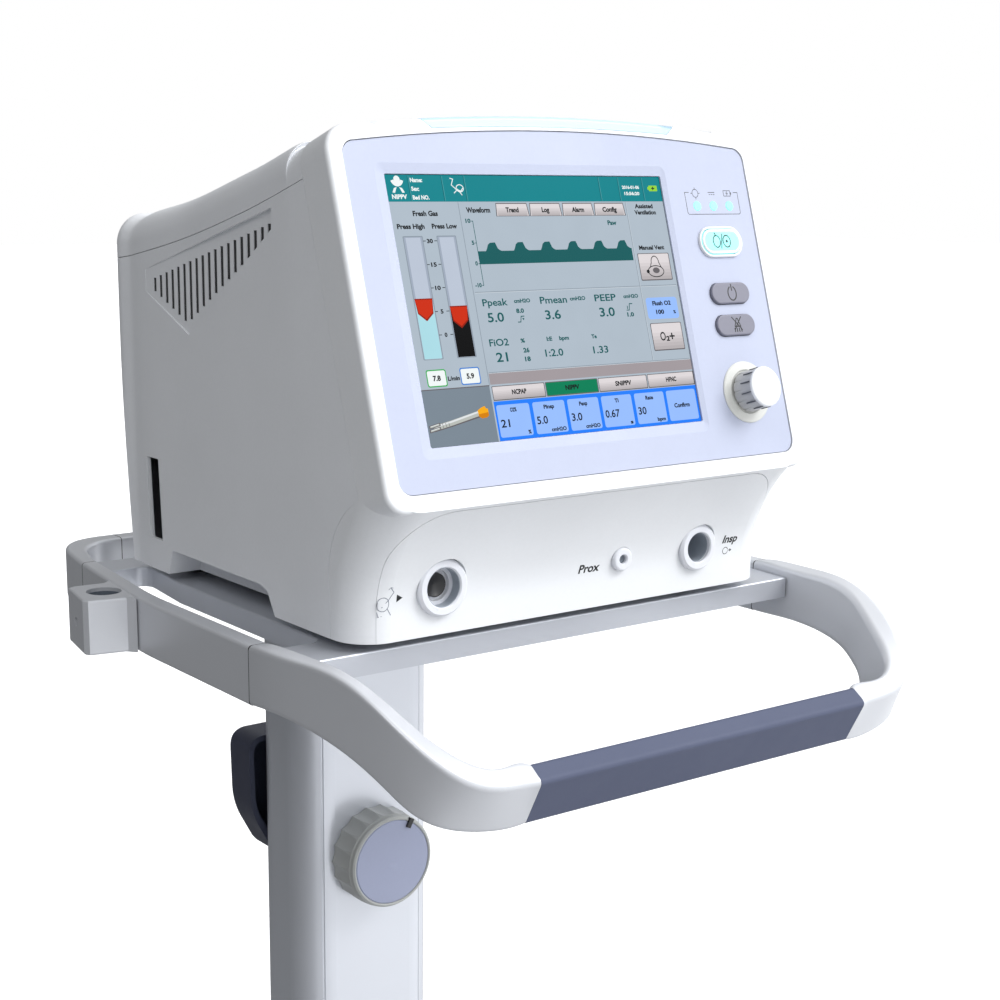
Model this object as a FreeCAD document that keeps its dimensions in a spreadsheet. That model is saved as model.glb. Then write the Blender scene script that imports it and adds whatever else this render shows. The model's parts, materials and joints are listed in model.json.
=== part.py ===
import FreeCAD, Part
import math
import os
import re

import Sketcher
from FreeCAD import Placement, Rotation, Vector

# Intensive-care ventilator on its trolley, in millimetres.
# Origin: centre of the footprint on the floor.  +Z up, +Y to the rear, the screen faces -Y;
# +X is to the right of a person who faces the screen.
# The head unit is drawn about the centre of its screen, and placed at (0, depth_shift, screen_height).

doc = FreeCAD.newDocument("Ventilator")
sheet = doc.addObject("Spreadsheet::Sheet", "Dims")

DIMENSIONS = [
    # placing
    ("screen_height", 1076.0), ("depth_shift", -150.0), ("panel_tilt", 17.36),
    # head unit shell
    ("housing_width", 334.0), ("wall", 3.0), ("body_bottom", -192.5), ("body_rear", 296.0),
    ("frame_depth", 29.0), ("rim_bottom", -114.8), ("rim_shoulder", 108.6), ("rim_crown", 7.7),
    ("rim_radius", 17.0), ("corner_radius", 24.0), ("seam_gap", 0.25), ("edge_round", 3.0),
    # control panel, in the panel's own plane about the screen's centre line
    ("bezel_width", 313.0), ("bezel_bottom", -104.4), ("bezel_shoulder", 98.4), ("bezel_crown", 8.2),
    ("bezel_radius", 9.0), ("bezel_thick", 3.2), ("bezel_sink", 0.8), ("bezel_gap", 0.5),
    ("screen_shift", -24.2), ("screen_lift", 0.4), ("screen_width", 211.2), ("screen_tall", 158.4),
    ("recess_left", -137.0), ("recess_right", 85.6), ("recess_half", 86.0), ("recess_depth", 1.8),
    ("glass_thick", 1.1), ("module_depth", 14.0),
    ("control_column", 123.2), ("button_length", 33.8), ("button_width", 13.7), ("start_width", 16.0),
    ("start_row", 36.0), ("power_row", 1.9), ("mute_row", -19.1), ("lamp_row", 60.0),
    ("lamp_pitch", 14.4), ("lamp_size", 6.2), ("button_proud", 1.3), ("button_gap", 0.35),
    ("button_travel", 1.2), ("knob_row", -63.2), ("collar_radius", 20.2), ("knob_radius", 13.4),
    ("knob_height", 17.5), ("shaft_radius", 3.0), ("running_gap", 0.05),
    ("bar_half", 100.0), ("bar_tall", 7.2), ("bar_deep", 21.0),
    # patient connections on the lower front
    ("port_height", -163.3), ("port_left", -107.5), ("port_prox", 33.6), ("port_right", 100.0),
    ("cone_bore", 9.9), ("patient_bore", 12.1), ("inner_bore", 7.6),
    # trolley
    ("platform_top", -198.0), ("platform_thick", 14.0), ("platform_half", 162.5), ("platform_narrow", 154.0),
    ("platform_front", 7.5), ("platform_rear", 326.0), ("crossbar_front", 45.0), ("crossbar_rear", 293.0),
    ("ring_top", -193.0), ("ring_tall", 36.5), ("ring_half", 214.0), ("ring_thick", 13.7),
    ("rail_front", 43.0), ("rail_bend", 190.0), ("rail_rear", 308.0), ("rear_half", 198.3), ("rear_thick", 11.5),
    ("bar_rear", 391.6), ("bar_thick", 17.0), ("bar_end", 136.0), ("grip_half", 129.5),
    ("socket_bore", 11.5), ("socket_y", 218.7), ("foot_tall", 5.4),
    ("column_half", 60.0), ("column_deep", 76.0), ("column_y", 274.6), ("column_radius", 26.0),
    ("column_wall", 3.0), ("column_foot", 168.0),
    ("clamp_height", -431.5), ("clamp_face_y", 209.0), ("clamp_radius", 36.5), ("clamp_deep", 27.3),
    # base and casters, from the floor
    ("wheel_radius", 50.0), ("wheel_width", 24.0), ("caster_trail", 25.0), ("caster_x", 240.0),
    ("caster_front", -230.0), ("caster_back", 200.1), ("leg_bottom", 128.0), ("leg_end", 32.0),
    ("axle_radius", 4.0), ("stem_radius", 6.0),
]


def write_sheet():
    for row, (alias, value) in enumerate(DIMENSIONS, start=1):
        sheet.set(f"A{row}", alias)
        sheet.set(f"B{row}", str(value))
        sheet.setAlias(f"B{row}", alias)
    doc.recompute()


write_sheet()
D = {alias: float(sheet.get(alias)) for alias, _ in DIMENSIONS}
TILT = math.radians(D["panel_tilt"])
HALF = D["housing_width"] / 2
SUBPARTS = []


# ---------------------------------------------------------------- small helpers
def val(text):
    """Number for an expression in the sheet's aliases, such as 'wall * 2'."""
    if isinstance(text, (int, float)):
        return float(text)
    result = sheet.evalExpression(text)
    return float(getattr(result, "Value", result))


def linked(text):
    """The same expression as another object has to write it."""
    return re.sub(r"[a-z_]+", lambda word: f"Dims.{word[0]}" if word[0] in D else word[0], text)


def bind(obj, prop, text):
    if isinstance(text, (int, float)):
        setattr(obj, prop, text)
    else:
        obj.setExpression(prop, linked(text))


def keep(obj, label, place=None):
    """Registers a sub-part under the name of its file, at its place."""
    obj.Label = label
    if place is not None:
        obj.Placement = place
    SUBPARTS.append(obj)
    return obj


def at_head(x=0.0, y=0.0, z=0.0, rotation=None):
    """Placement about the screen's centre."""
    base = Vector(x, y + D["depth_shift"], z + D["screen_height"])
    return Placement(base, rotation or Rotation())


def on_panel(u, v, w=0.0):
    """Placement on the tilted panel: local X across, local Y up the panel, local Z outwards."""
    point = panel_point(u, v, w)
    return at_head(point.x, point.y, point.z, Rotation(Vector(1, 0, 0), 90 - D["panel_tilt"]))


def facing_front(x, y, z):
    """Placement with local Z pointing to the front."""
    return at_head(x, y, z, Rotation(Vector(1, 0, 0), 90))


def facing_rear(x, y, z):
    """Placement with local Z pointing to the rear."""
    return at_head(x, y, z, Rotation(Vector(1, 0, 0), -90))


def panel_point(u, v, w=0.0):
    return Vector(u, v * math.sin(TILT) - w * math.cos(TILT), v * math.cos(TILT) + w * math.sin(TILT))


def feature(label, shape, place=None):
    """Sub-part from a finished shape."""
    obj = doc.addObject("Part::Feature", label)
    obj.Shape = shape
    return keep(obj, label, place or at_head())


def box(x0, x1, y0, y1, z0, z1):
    return Part.makeBox(x1 - x0, y1 - y0, z1 - z0, Vector(x0, y0, z0))


def solid_of(shape):
    """The single solid of a boolean's result, cleaned of needless splits."""
    shape = shape.removeSplitter()
    if shape.ShapeType == "Solid":
        return shape
    solids = sorted(shape.Solids, key=lambda s: s.Volume)
    return solids[-1]


def rounded(shape, radius, chosen):
    """Fillets the edges that the test picks."""
    edges = [e for e in shape.Edges if chosen(e)]
    return shape.makeFillet(radius, edges) if edges else shape


def middle(edge):
    return edge.valueAt((edge.FirstParameter + edge.LastParameter) / 2)


def along(edge, axis):
    """True for a straight edge along the axis."""
    if edge.Curve.TypeId != "Part::GeomLine":
        return False
    return abs(abs(edge.Curve.Direction.dot(axis)) - 1) < 1e-6


# ---------------------------------------------------------------- sketch helpers
def new_body(label, place):
    body = doc.addObject("PartDesign::Body", label)
    return keep(body, label, place)


def new_sketch(body, role="XY_Plane"):
    plane = next(item for item in body.Origin.OriginFeatures if item.Role == role)
    sketch = body.newObject("Sketcher::SketchObject", body.Label + "_sketch")
    sketch.AttachmentSupport = [(plane, "")]
    sketch.MapMode = "FlatFace"
    return sketch


def fix_point(sketch, geo, pos, x, y):
    """Holds a sketch point at two expressions of the sheet."""
    for kind, text in (("DistanceX", x), ("DistanceY", y)):
        value = val(text)
        if abs(value) < 1e-9:
            axis = -2 if kind == "DistanceX" else -1
            sketch.addConstraint(Sketcher.Constraint("PointOnObject", geo, pos, axis))
            continue
        index = sketch.addConstraint(Sketcher.Constraint(kind, -1, 1, geo, pos, value))
        if not isinstance(text, (int, float)):
            sketch.setExpression(f"Constraints[{index}]", linked(text))


def polygon(sketch, points):
    """Closed outline through corner points given as pairs of expressions."""
    spots = [Vector(val(x), val(y), 0) for x, y in points]
    first = sketch.GeometryCount
    for here, there in zip(spots, spots[1:] + spots[:1]):
        sketch.addGeometry(Part.LineSegment(here, there), False)
    count = len(points)
    for i in range(count):
        after = first + (i + 1) % count
        sketch.addConstraint(Sketcher.Constraint("Coincident", first + i, 2, after, 1))
    for i, (x, y) in enumerate(points):
        fix_point(sketch, first + i, 1, x, y)


def circle(sketch, x, y, radius):
    """Circle whose centre and radius are expressions."""
    geo = sketch.addGeometry(Part.Circle(Vector(val(x), val(y), 0), Vector(0, 0, 1), val(radius)), False)
    fix_point(sketch, geo, 3, x, y)
    index = sketch.addConstraint(Sketcher.Constraint("Radius", geo, val(radius)))
    if not isinstance(radius, (int, float)):
        sketch.setExpression(f"Constraints[{index}]", linked(radius))


def pad(body, sketch, length, reverse=False):
    item = body.newObject("PartDesign::Pad", body.Label + "_pad")
    item.Profile = sketch
    bind(item, "Length", length)
    item.Reversed = reverse
    sketch.Visibility = False
    return item


def pocket(body, sketch, length, reverse=False):
    """Cut from the sketch, which has to take something away."""
    doc.recompute()
    before = body.Shape.Volume
    item = body.newObject("PartDesign::Pocket", body.Label + "_pocket")
    item.Profile = sketch
    bind(item, "Length", length)
    item.Reversed = reverse
    doc.recompute()
    if body.Shape.Volume > before - 1e-3:
        raise RuntimeError(f"pocket in {body.Label} cuts nothing")
    return item


def revolve(body, points):
    """Solid of revolution about local Z from a half outline of (radius, height) pairs."""
    sketch = new_sketch(body, "XZ_Plane")
    polygon(sketch, points)
    item = body.newObject("PartDesign::Revolution", body.Label + "_turned")
    item.Profile = sketch
    item.ReferenceAxis = (sketch, ["V_Axis"])
    item.Angle = 360
    return item


def ease(body, radius, chosen, kind="PartDesign::Fillet"):
    """Fillet or chamfer on the edges of the body's tip that the test picks."""
    doc.recompute()
    tip = body.Tip
    names = [f"Edge{i}" for i, e in enumerate(tip.Shape.Edges, start=1) if chosen(e)]
    if not names:
        raise RuntimeError(f"no edge to ease on {body.Label}")
    item = body.newObject(kind, body.Label + "_eased")
    item.Base = (tip, names)
    bind(item, "Radius" if kind == "PartDesign::Fillet" else "Size", radius)
    doc.recompute()
    return item


X_AXIS, Y_AXIS, Z_AXIS = Vector(1, 0, 0), Vector(0, 1, 0), Vector(0, 0, 1)


# ---------------------------------------------------------------- outlines of the head unit
def yz_wire(points):
    """Closed outline in the side view; an entry of three points is an arc to the last of them."""
    edges = []
    here = Vector(0, *points[0])
    for step in points[1:] + [points[0]]:
        if isinstance(step[0], tuple):
            way, there = (Vector(0, *p) for p in step)
            edges.append(Part.Arc(here, way, there).toShape())
        else:
            there = Vector(0, *step)
            if (there - here).Length < 1e-6:
                continue
            edges.append(Part.makeLine(here, there))
        here = there
    return Part.Wire(edges)


def side_prism(points, half):
    """Side-view outline made solid across the width."""
    face = Part.Face(yz_wire(points))
    face.translate(Vector(-half, 0, 0))
    return face.extrude(Vector(2 * half, 0, 0))


def arch_wire(half, bottom, shoulder, crown, top_radius, low_radius, place):
    """Panel outline: straight sides, an arched top edge and rounded corners.

    place turns (u, v) into a point.  The arch's shoulder is its height where the corner starts."""
    k = 1 - math.sqrt(0.5)
    t, b = top_radius, low_radius
    side = shoulder - t
    edges = [
        Part.makeLine(place(half, bottom + b), place(half, side)),
        Part.Arc(place(half, side), place(half - t * k, shoulder - t * k), place(half - t, shoulder)).toShape(),
        Part.Arc(place(half - t, shoulder), place(0, shoulder + crown), place(t - half, shoulder)).toShape(),
        Part.Arc(place(t - half, shoulder), place(t * k - half, shoulder - t * k), place(-half, side)).toShape(),
        Part.makeLine(place(-half, side), place(-half, bottom + b)),
        Part.Arc(place(-half, bottom + b), place(b * k - half, bottom + b * k), place(b - half, bottom)).toShape(),
        Part.makeLine(place(b - half, bottom), place(half - b, bottom)),
        Part.Arc(place(half - b, bottom), place(half - b * k, bottom + b * k), place(half, bottom + b)).toShape(),
    ]
    return Part.Wire(edges)


def panel_prism(half, bottom, shoulder, crown, top_radius, low_radius, front, back):
    """Arched outline extruded between two depths, w = front and w = back, of the panel."""
    wire = arch_wire(half, bottom, shoulder, crown, top_radius, low_radius,
                     lambda u, v: panel_point(u, v, front))
    normal = panel_point(0, 0, back) - panel_point(0, 0, front)
    return Part.Face(wire).extrude(normal)


def panel_box(u0, u1, v0, v1, w0, w1):
    """Box square to the panel."""
    corner = [panel_point(u, v, w0) for u, v in ((u0, v0), (u1, v0), (u1, v1), (u0, v1))]
    face = Part.Face(Part.makePolygon(corner + corner[:1]))
    return face.extrude(panel_point(0, 0, w1) - panel_point(0, 0, w0))


LIP_Y, LIP_Z = -34.3, -109.6          # lower front edge of the screen's rim
FASCIA_Y, FASCIA_Z = 0.0, -166.0      # where the lower front turns upright
SEAM_SHIFT = 28.0                     # the seam runs this far behind the front


def fascia_arc(inset):
    """Hollow of the lower front, from the rim's lip down to the upright part, moved inwards."""
    return ((-12.5 + inset, -136.5 + inset * 0.3), (FASCIA_Y + inset, FASCIA_Z))


def lower_block(inset=0.0):
    """Lower front with its two large rounded corners, as far back as the seam."""
    bottom = D["body_bottom"] + inset
    back = FASCIA_Y + SEAM_SHIFT + 8
    half = HALF - inset
    outline = [
        (LIP_Y + inset, LIP_Z),
        fascia_arc(inset),
        (FASCIA_Y + inset, bottom),
        (back, bottom),
        (back, LIP_Z + 12),
        (LIP_Y + inset + 6, LIP_Z + 12),
    ]
    block = side_prism(outline, half)
    block = rounded(block, 60.0, lambda e: along(e, X_AXIS) and abs(middle(e).z - FASCIA_Z) < 1e-3)
    radius = D["corner_radius"] - inset

    def corner(edge):
        spot = middle(edge)
        return abs(abs(spot.x) - half) < 1e-3 and spot.y < inset + 1 and spot.z < LIP_Z - 1

    return rounded(block, radius, corner)


def rim_block(inset=0.0):
    """Box of the screen's rim with its soft front edge."""
    half = HALF - inset
    block = panel_prism(half, D["rim_bottom"] + inset, D["rim_shoulder"] - inset, D["rim_crown"],
                        D["rim_radius"] - inset, D["rim_radius"] - 4 - inset, -inset, -60.0)
    if inset:
        return block
    normal = panel_point(0, 0, 1)
    return rounded(block, D["edge_round"], lambda e: abs(middle(e).dot(normal)) < 1e-3)


def seam_line(shift):
    """Side view of the seam behind the front moulding, from below the body to above it."""
    depth = D["frame_depth"] + shift
    low = panel_point(0, -100.5, -depth)
    high = panel_point(0, 130.0, -depth)
    foot = (FASCIA_Y + SEAM_SHIFT + shift, FASCIA_Z)
    way = (16.5 + shift, -120.0)
    return [(foot[0], -230.0), foot, (way, (low.y + 0.5, low.z - 1.5)), (low.y, low.z + 3), (high.y, high.z)]


def front_region(shift=0.0):
    """Everything in front of the seam, moved back by shift."""
    line = seam_line(shift)
    return side_prism([(-120.0, -230.0)] + line + [(-120.0, line[-1][1])], 400)


def rear_section(y, half, shoulder, crown, radius, place=None):
    place = place or (lambda u, v: Vector(u, y, v))
    return arch_wire(half, -260.0, shoulder, crown, radius, 4.0, place)


# the top line of the body behind the rim: depth, height of its shoulder, crown, half-width
TOP_LINE = [
    (80.0, 93.2, 7.0, 167.0), (131.0, 79.4, 6.2, 166.6), (179.0, 68.0, 5.2, 166.0),
    (231.0, 57.6, 4.2, 165.0), (272.0, 51.6, 3.4, 164.0),
]
# how the rear edge rounds off: distance before the rear face, and how much the section shrinks
REAR_ROUND = [(9.0, 0.0), (4.5, 0.9), (1.6, 2.8), (0.3, 5.6)]


def tunnel(inset=0.0):
    """Sides and top of the housing, a smooth run of arched sections from the rim to the rear face."""
    radius = D["rim_radius"] + 3 - inset
    half = HALF - inset
    sections = []
    for w in (0.0, -14.0, -28.0):
        sections.append(rear_section(0, half, D["rim_shoulder"] - inset, D["rim_crown"], radius,
                                     lambda u, v, w=w: panel_point(u, v, w)))
    for y, shoulder, crown, width in TOP_LINE:
        sections.append(rear_section(y, width - inset, shoulder - inset, crown, radius))
    rear = D["body_rear"] + 16.0 - inset
    last = TOP_LINE[-1]
    for ahead, shrink in REAR_ROUND:
        sections.append(rear_section(rear - ahead, last[3] - inset - shrink, 49.2 - inset - shrink, 3.0, radius))
    return Part.makeLoft(sections, True, False)


def rear_side(inset=0.0):
    """Side view of the housing behind the front: it limits the bottom, and the sloping rear face."""
    bottom = D["body_bottom"] + inset
    rear = D["body_rear"] - inset
    return side_prism([(-10.0, bottom), (rear, bottom), (rear + 15.5, 12.0), (rear + 15.5, 140.0),
                       (-10.0, 140.0)], 400)


def housing_block(inset=0.0):
    return tunnel(inset).common(rear_side(inset))


# ---------------------------------------------------------------- head unit: shells
def top_seam_region(gap=0.0):
    """Everything above the seam under the top cover; the seam sweeps down to the rear."""
    line = [(52.0, 72.6 + gap), ((171.0, 41.4 + gap), (315.0, 17.6 + gap))]
    return side_prism([(20.0, 82.0 + gap)] + line + [(315.0, 160.0), (20.0, 160.0)], 400)


def fascia_region(gap=0.0):
    """Front plate that carries the patient connections: arched corners under the rim."""
    half, top, radius = 152.0 + gap, -112.0 + gap, 34.0
    k = 1 - math.sqrt(0.5)
    low = -230.0

    def spot(x, z):
        return Vector(x, -60.0, z)

    edges = [
        Part.makeLine(spot(-half, low), spot(-half, top - radius)),
        Part.Arc(spot(-half, top - radius), spot(-half + radius * k, top - radius * k),
                 spot(radius - half, top)).toShape(),
        Part.makeLine(spot(radius - half, top), spot(half - radius, top)),
        Part.Arc(spot(half - radius, top), spot(half - radius * k, top - radius * k),
                 spot(half, top - radius)).toShape(),
        Part.makeLine(spot(half, top - radius), spot(half, low)),
        Part.makeLine(spot(half, low), spot(-half, low)),
    ]
    return Part.Face(Part.Wire(edges)).extrude(Vector(0, 95.0, 0))


def make_front():
    """White front moulding round the screen, and the port plate let into it."""
    rim = rim_block()
    block = lower_block()
    inner = rim_block(D["wall"]).fuse(lower_block(D["wall"]))
    region = front_region()
    outer = rim.fuse(block).common(region)
    shell = outer.cut(inner)
    sink = D["bezel_sink"] + D["bezel_thick"]
    ledge = 7.0
    half = D["bezel_width"] / 2 + D["bezel_gap"]
    window = panel_prism(half, D["bezel_bottom"] - D["bezel_gap"], D["bezel_shoulder"] + D["bezel_gap"],
                         D["bezel_crown"], D["bezel_radius"], D["bezel_radius"], 2.0, -sink)
    opening = panel_prism(half - ledge, D["bezel_bottom"] + ledge, D["bezel_shoulder"] - ledge,
                          D["bezel_crown"], D["bezel_radius"], D["bezel_radius"], 2.0, -40.0)
    collar = panel_prism(half + 2, D["bezel_bottom"] - 2, D["bezel_shoulder"] + 2, D["bezel_crown"],
                         D["bezel_radius"], D["bezel_radius"], -1.0, -sink - 2.5)
    shell = shell.fuse(collar.common(outer)).cut(window).cut(opening)
    shell = shell.cut(light_bar_block(D["seam_gap"]))
    plate = shell.common(fascia_region())
    shell = shell.cut(fascia_region(D["seam_gap"]))
    for x, radius, flange in port_holes():
        z = D["port_height"]
        boss = Part.makeCylinder(flange - 0.4, 14, Vector(x, 0, z), Y_AXIS)
        plate = plate.fuse(boss.common(front_region()))
        plate = plate.cut(Part.makeCylinder(flange + 0.3, 24, Vector(x, -24, z), Y_AXIS))
        plate = plate.cut(Part.makeCylinder(radius, 40, Vector(x, -20, z), Y_AXIS))
    feature("front_frame", solid_of(shell))
    feature("port_fascia", solid_of(plate))


def port_holes():
    """Place, hole and flange radius of each connection."""
    return (
        (D["port_left"], D["patient_bore"] + 2.0, D["patient_bore"] + 5.6),
        (D["port_prox"], 5.0, 7.8),
        (D["port_right"], D["cone_bore"] + 1.8, D["cone_bore"] + 5.7),
    )


def light_bar_block(gap=0.0):
    """Alarm light let into the top of the rim, with slanted ends."""
    half, tall = D["bar_half"] + gap, D["bar_tall"] + gap
    radius = (HALF ** 2 + D["rim_crown"] ** 2) / (2 * D["rim_crown"])
    top = D["rim_shoulder"] + D["rim_crown"]

    def arch(u, drop):
        return top - u * u / (2 * radius) - drop

    high = 1.5
    edges_at = [(-half - 3, -high), (half + 3, -high), (half - 8, tall), (8 - half, tall)]
    points = [panel_point(u, arch(u, drop), 2.0) for u, drop in edges_at]
    over = panel_point(0, arch(0, -high), 2.0)
    under = panel_point(0, arch(0, tall), 2.0)
    wire = Part.Wire([
        Part.Arc(points[0], over, points[1]).toShape(),
        Part.makeLine(points[1], points[2]),
        Part.Arc(points[2], under, points[3]).toShape(),
        Part.makeLine(points[3], points[0]),
    ])
    return Part.Face(wire).extrude(panel_point(0, 0, -D["bar_deep"] - gap) - panel_point(0, 0, 2.0))


def make_light_bar():
    shape = light_bar_block().common(rim_block())
    feature("alarm_light_bar", solid_of(shape))


def vent_recess(side, depth):
    """Shallow triangular recess in a side wall, and the slots in its floor."""
    x = side * (HALF - depth)
    corners = [(262.0, 13.0), (90.0, 56.0), (90.0, 43.5), (200.0, -26.5), (262.0, -1.5)]
    points = [Vector(x, y, z) for y, z in corners]
    face = Part.Face(Part.makePolygon(points + points[:1]))
    return face.extrude(Vector(side * 20, 0, 0))


def vent_slots(side):
    """Nineteen upright louvre slots whose ends follow the recess."""
    cuts = []
    for i in range(19):
        y = 248.5 - i * 8.45
        top = 8.0 + (248.5 - y) * 0.253
        if y > 203:
            bottom = -1.0 - (248.5 - y) * 0.40
        else:
            bottom = -19.2 + (203.0 - y) * 0.55
        x0 = side * (HALF - 8)
        cuts.append(box(min(x0, side * HALF), max(x0, side * HALF), y - 2.0, y + 2.0, bottom, top))
    return Part.makeCompound(cuts)


def make_housing():
    """Grey main shell: sides, floor and the hand notches at its lower edge."""
    keep_clear = front_region(D["seam_gap"])
    shell = housing_block().cut(housing_block(D["wall"])).cut(keep_clear)
    rear = D["body_rear"] - 6.0
    opening = box(-148, 148, rear - 8, rear + 60, -180, 8)
    shell = shell.cut(opening)
    for side in (-1, 1):
        pad_block = box(min(side * HALF, side * (HALF - 6)), max(side * HALF, side * (HALF - 6)),
                        84, 270, -34, 62).common(housing_block(0.6))
        shell = shell.fuse(pad_block).cut(vent_recess(side, 2.6))
        shell = shell.cut(vent_slots(side))
        slot = side_prism([(270.0, -114.5), (251.0, -114.5), (247.5, -171.0), (266.5, -171.0)], 400)
        shell = shell.cut(slot.common(box(min(side * 150, side * 200), max(side * 150, side * 200),
                                          200, 300, -180, -100)))
    notch = side_prism([(242.0, -200.0), (233.0, -175.0), (112.0, -175.0), (102.0, -178.0),
                        (88.0, -200.0)], 400)
    hollow = notch.common(box(-HALF - 2, -HALF + 26, 60, 270, -200, -170))
    hollow = hollow.fuse(notch.common(box(HALF - 26, HALF + 2, 60, 270, -200, -170)))
    liner = side_prism([(245.0, -200.0), (235.2, -172.0), (111.0, -172.0), (100.0, -175.4),
                        (84.0, -200.0)], 400)
    lining = liner.common(box(-HALF, -HALF + 29, 60, 270, -200, -170))
    lining = lining.fuse(liner.common(box(HALF - 29, HALF, 60, 270, -200, -170)))
    shell = shell.fuse(lining.common(housing_block())).cut(hollow).cut(top_seam_region())
    feature("housing_shell", solid_of(shell))


def make_top_cover():
    shell = housing_block().cut(housing_block(D["wall"]))
    shell = shell.common(top_seam_region(D["seam_gap"] * 2)).cut(front_region(D["seam_gap"]))
    feature("top_cover", solid_of(shell))


def make_rear_panel():
    """Metal plate that closes the rear, with the holes of its fittings and of the fan."""
    rear = D["body_rear"] - 6.0
    slope = 15.5 / (12.0 - D["body_bottom"])

    def depth(z):
        return D["body_rear"] + (z - D["body_bottom"]) * slope

    low, high = -179.5, 7.5
    outline = [(depth(low) - 3.4, low), (depth(low) - 1.2, low), (depth(high) - 1.2, high),
               (depth(high) - 3.4, high)]
    plate = side_prism(outline, 147.5)
    for x, z, radius in REAR_HOLES:
        plate = plate.cut(Part.makeCylinder(radius, 80, Vector(x, rear - 30, z), Y_AXIS))
    plate = plate.cut(box(-124, -96, rear - 30, rear + 60, -160, -139))
    feature("rear_panel", solid_of(plate))


# air inlet, oxygen inlet and fan opening: x, z, radius
REAR_HOLES = [(-60.0, -150.0, 8.3), (-14.0, -150.0, 8.3), (88.0, -80.0, 37.0)]


# ---------------------------------------------------------------- head unit: control panel
def pill_prism(u, v, length, width, w0, w1):
    """Slot-shaped prism square to the panel."""
    r = width / 2
    a = length / 2 - r

    def spot(du, dv):
        return panel_point(u + du, v + dv, w0)

    wire = Part.Wire([
        Part.makeLine(spot(-a, -r), spot(a, -r)),
        Part.Arc(spot(a, -r), spot(a + r, 0), spot(a, r)).toShape(),
        Part.makeLine(spot(a, r), spot(-a, r)),
        Part.Arc(spot(-a, r), spot(-a - r, 0), spot(-a, -r)).toShape(),
    ])
    return Part.Face(wire).extrude(panel_point(0, 0, w1) - panel_point(0, 0, w0))


def rounded_wire(u0, u1, v0, v1, radius, w):
    """Rounded rectangle on the panel at depth w."""
    k = radius * (1 - math.sqrt(0.5))

    def spot(u, v):
        return panel_point(u, v, w)

    r = radius
    return Part.Wire([
        Part.makeLine(spot(u0 + r, v0), spot(u1 - r, v0)),
        Part.Arc(spot(u1 - r, v0), spot(u1 - k, v0 + k), spot(u1, v0 + r)).toShape(),
        Part.makeLine(spot(u1, v0 + r), spot(u1, v1 - r)),
        Part.Arc(spot(u1, v1 - r), spot(u1 - k, v1 - k), spot(u1 - r, v1)).toShape(),
        Part.makeLine(spot(u1 - r, v1), spot(u0 + r, v1)),
        Part.Arc(spot(u0 + r, v1), spot(u0 + k, v1 - k), spot(u0, v1 - r)).toShape(),
        Part.makeLine(spot(u0, v1 - r), spot(u0, v0 + r)),
        Part.Arc(spot(u0, v0 + r), spot(u0 + k, v0 + k), spot(u0 + r, v0)).toShape(),
    ])


BUTTONS = [
    ("start_button", "start_row", "start_width"),
    ("power_button", "power_row", "button_width"),
    ("mute_button", "mute_row", "button_width"),
]


def screen_edges():
    """Left, right, low and high edges of the lit screen on the panel."""
    half_wide, half_tall = D["screen_width"] / 2, D["screen_tall"] / 2
    shift, lift = D["screen_shift"], D["screen_lift"]
    return (shift - half_wide, shift + half_wide, lift - half_tall, lift + half_tall)


def lamp_hole(u, radius, w0, w1):
    """Round bar across the panel at the row of the lamps."""
    return Part.makeCylinder(radius, w0 - w1, panel_point(u, D["lamp_row"], w0), panel_point(0, 0, -1))


def make_bezel():
    """Tinted panel with the splayed recess of the screen and holes for its controls."""
    front, back = -D["bezel_sink"], -D["bezel_sink"] - D["bezel_thick"]
    plate = panel_prism(D["bezel_width"] / 2, D["bezel_bottom"], D["bezel_shoulder"], D["bezel_crown"],
                        D["bezel_radius"], D["bezel_radius"], front, back)
    lip = rounded_wire(D["recess_left"] - 2, D["recess_right"] + 2, -D["recess_half"] - 2,
                       D["recess_half"] + 2, 6.0, back + 0.5)
    well = Part.Face(lip).extrude(panel_point(0, 0, -5.2) - panel_point(0, 0, back + 0.5))
    left, right, low, high = screen_edges()
    rebate = panel_box(left - 2.3, right + 2.3, low - 2.3, high + 2.3, -D["recess_depth"] - 1.18, -8.0)
    outer = rounded_wire(D["recess_left"], D["recess_right"], -D["recess_half"], D["recess_half"], 5.0,
                         front + 0.01)
    inner = rounded_wire(left - 0.3, right + 0.3, low - 0.3, high + 0.3, 1.2, -D["recess_depth"])
    cut = Part.makeLoft([outer, inner], True, True)
    through = Part.Face(inner).extrude(panel_point(0, 0, -8.0) - panel_point(0, 0, 0))
    plate = plate.fuse(well).cut(cut).cut(through).cut(rebate)
    gap = 2 * D["button_gap"]
    for _, row, width in BUTTONS:
        plate = plate.cut(pill_prism(D["control_column"], D[row], D["button_length"] + gap,
                                     D[width] + gap, 2.0, -12.0))
    for i in range(3):
        u = D["control_column"] + (i - 1) * D["lamp_pitch"]
        plate = plate.cut(lamp_hole(u, D["lamp_size"] / 2, 2.0, -12.0))
    centre = panel_point(D["control_column"], D["knob_row"], 3.0)
    plate = plate.cut(Part.makeCylinder(5.2, 20, centre, panel_point(0, 0, -1)))
    feature("bezel_panel", solid_of(plate))


def make_lamps():
    """Three status lamps, separate small round light guides."""
    radius = D["lamp_size"] / 2 - 0.12
    guides = []
    for i in range(3):
        u = D["control_column"] + (i - 1) * D["lamp_pitch"]
        guides.append(lamp_hole(u, radius, 0.3 - D["bezel_sink"], -7.0))
    feature("status_lamps", Part.makeCompound(guides))


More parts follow.
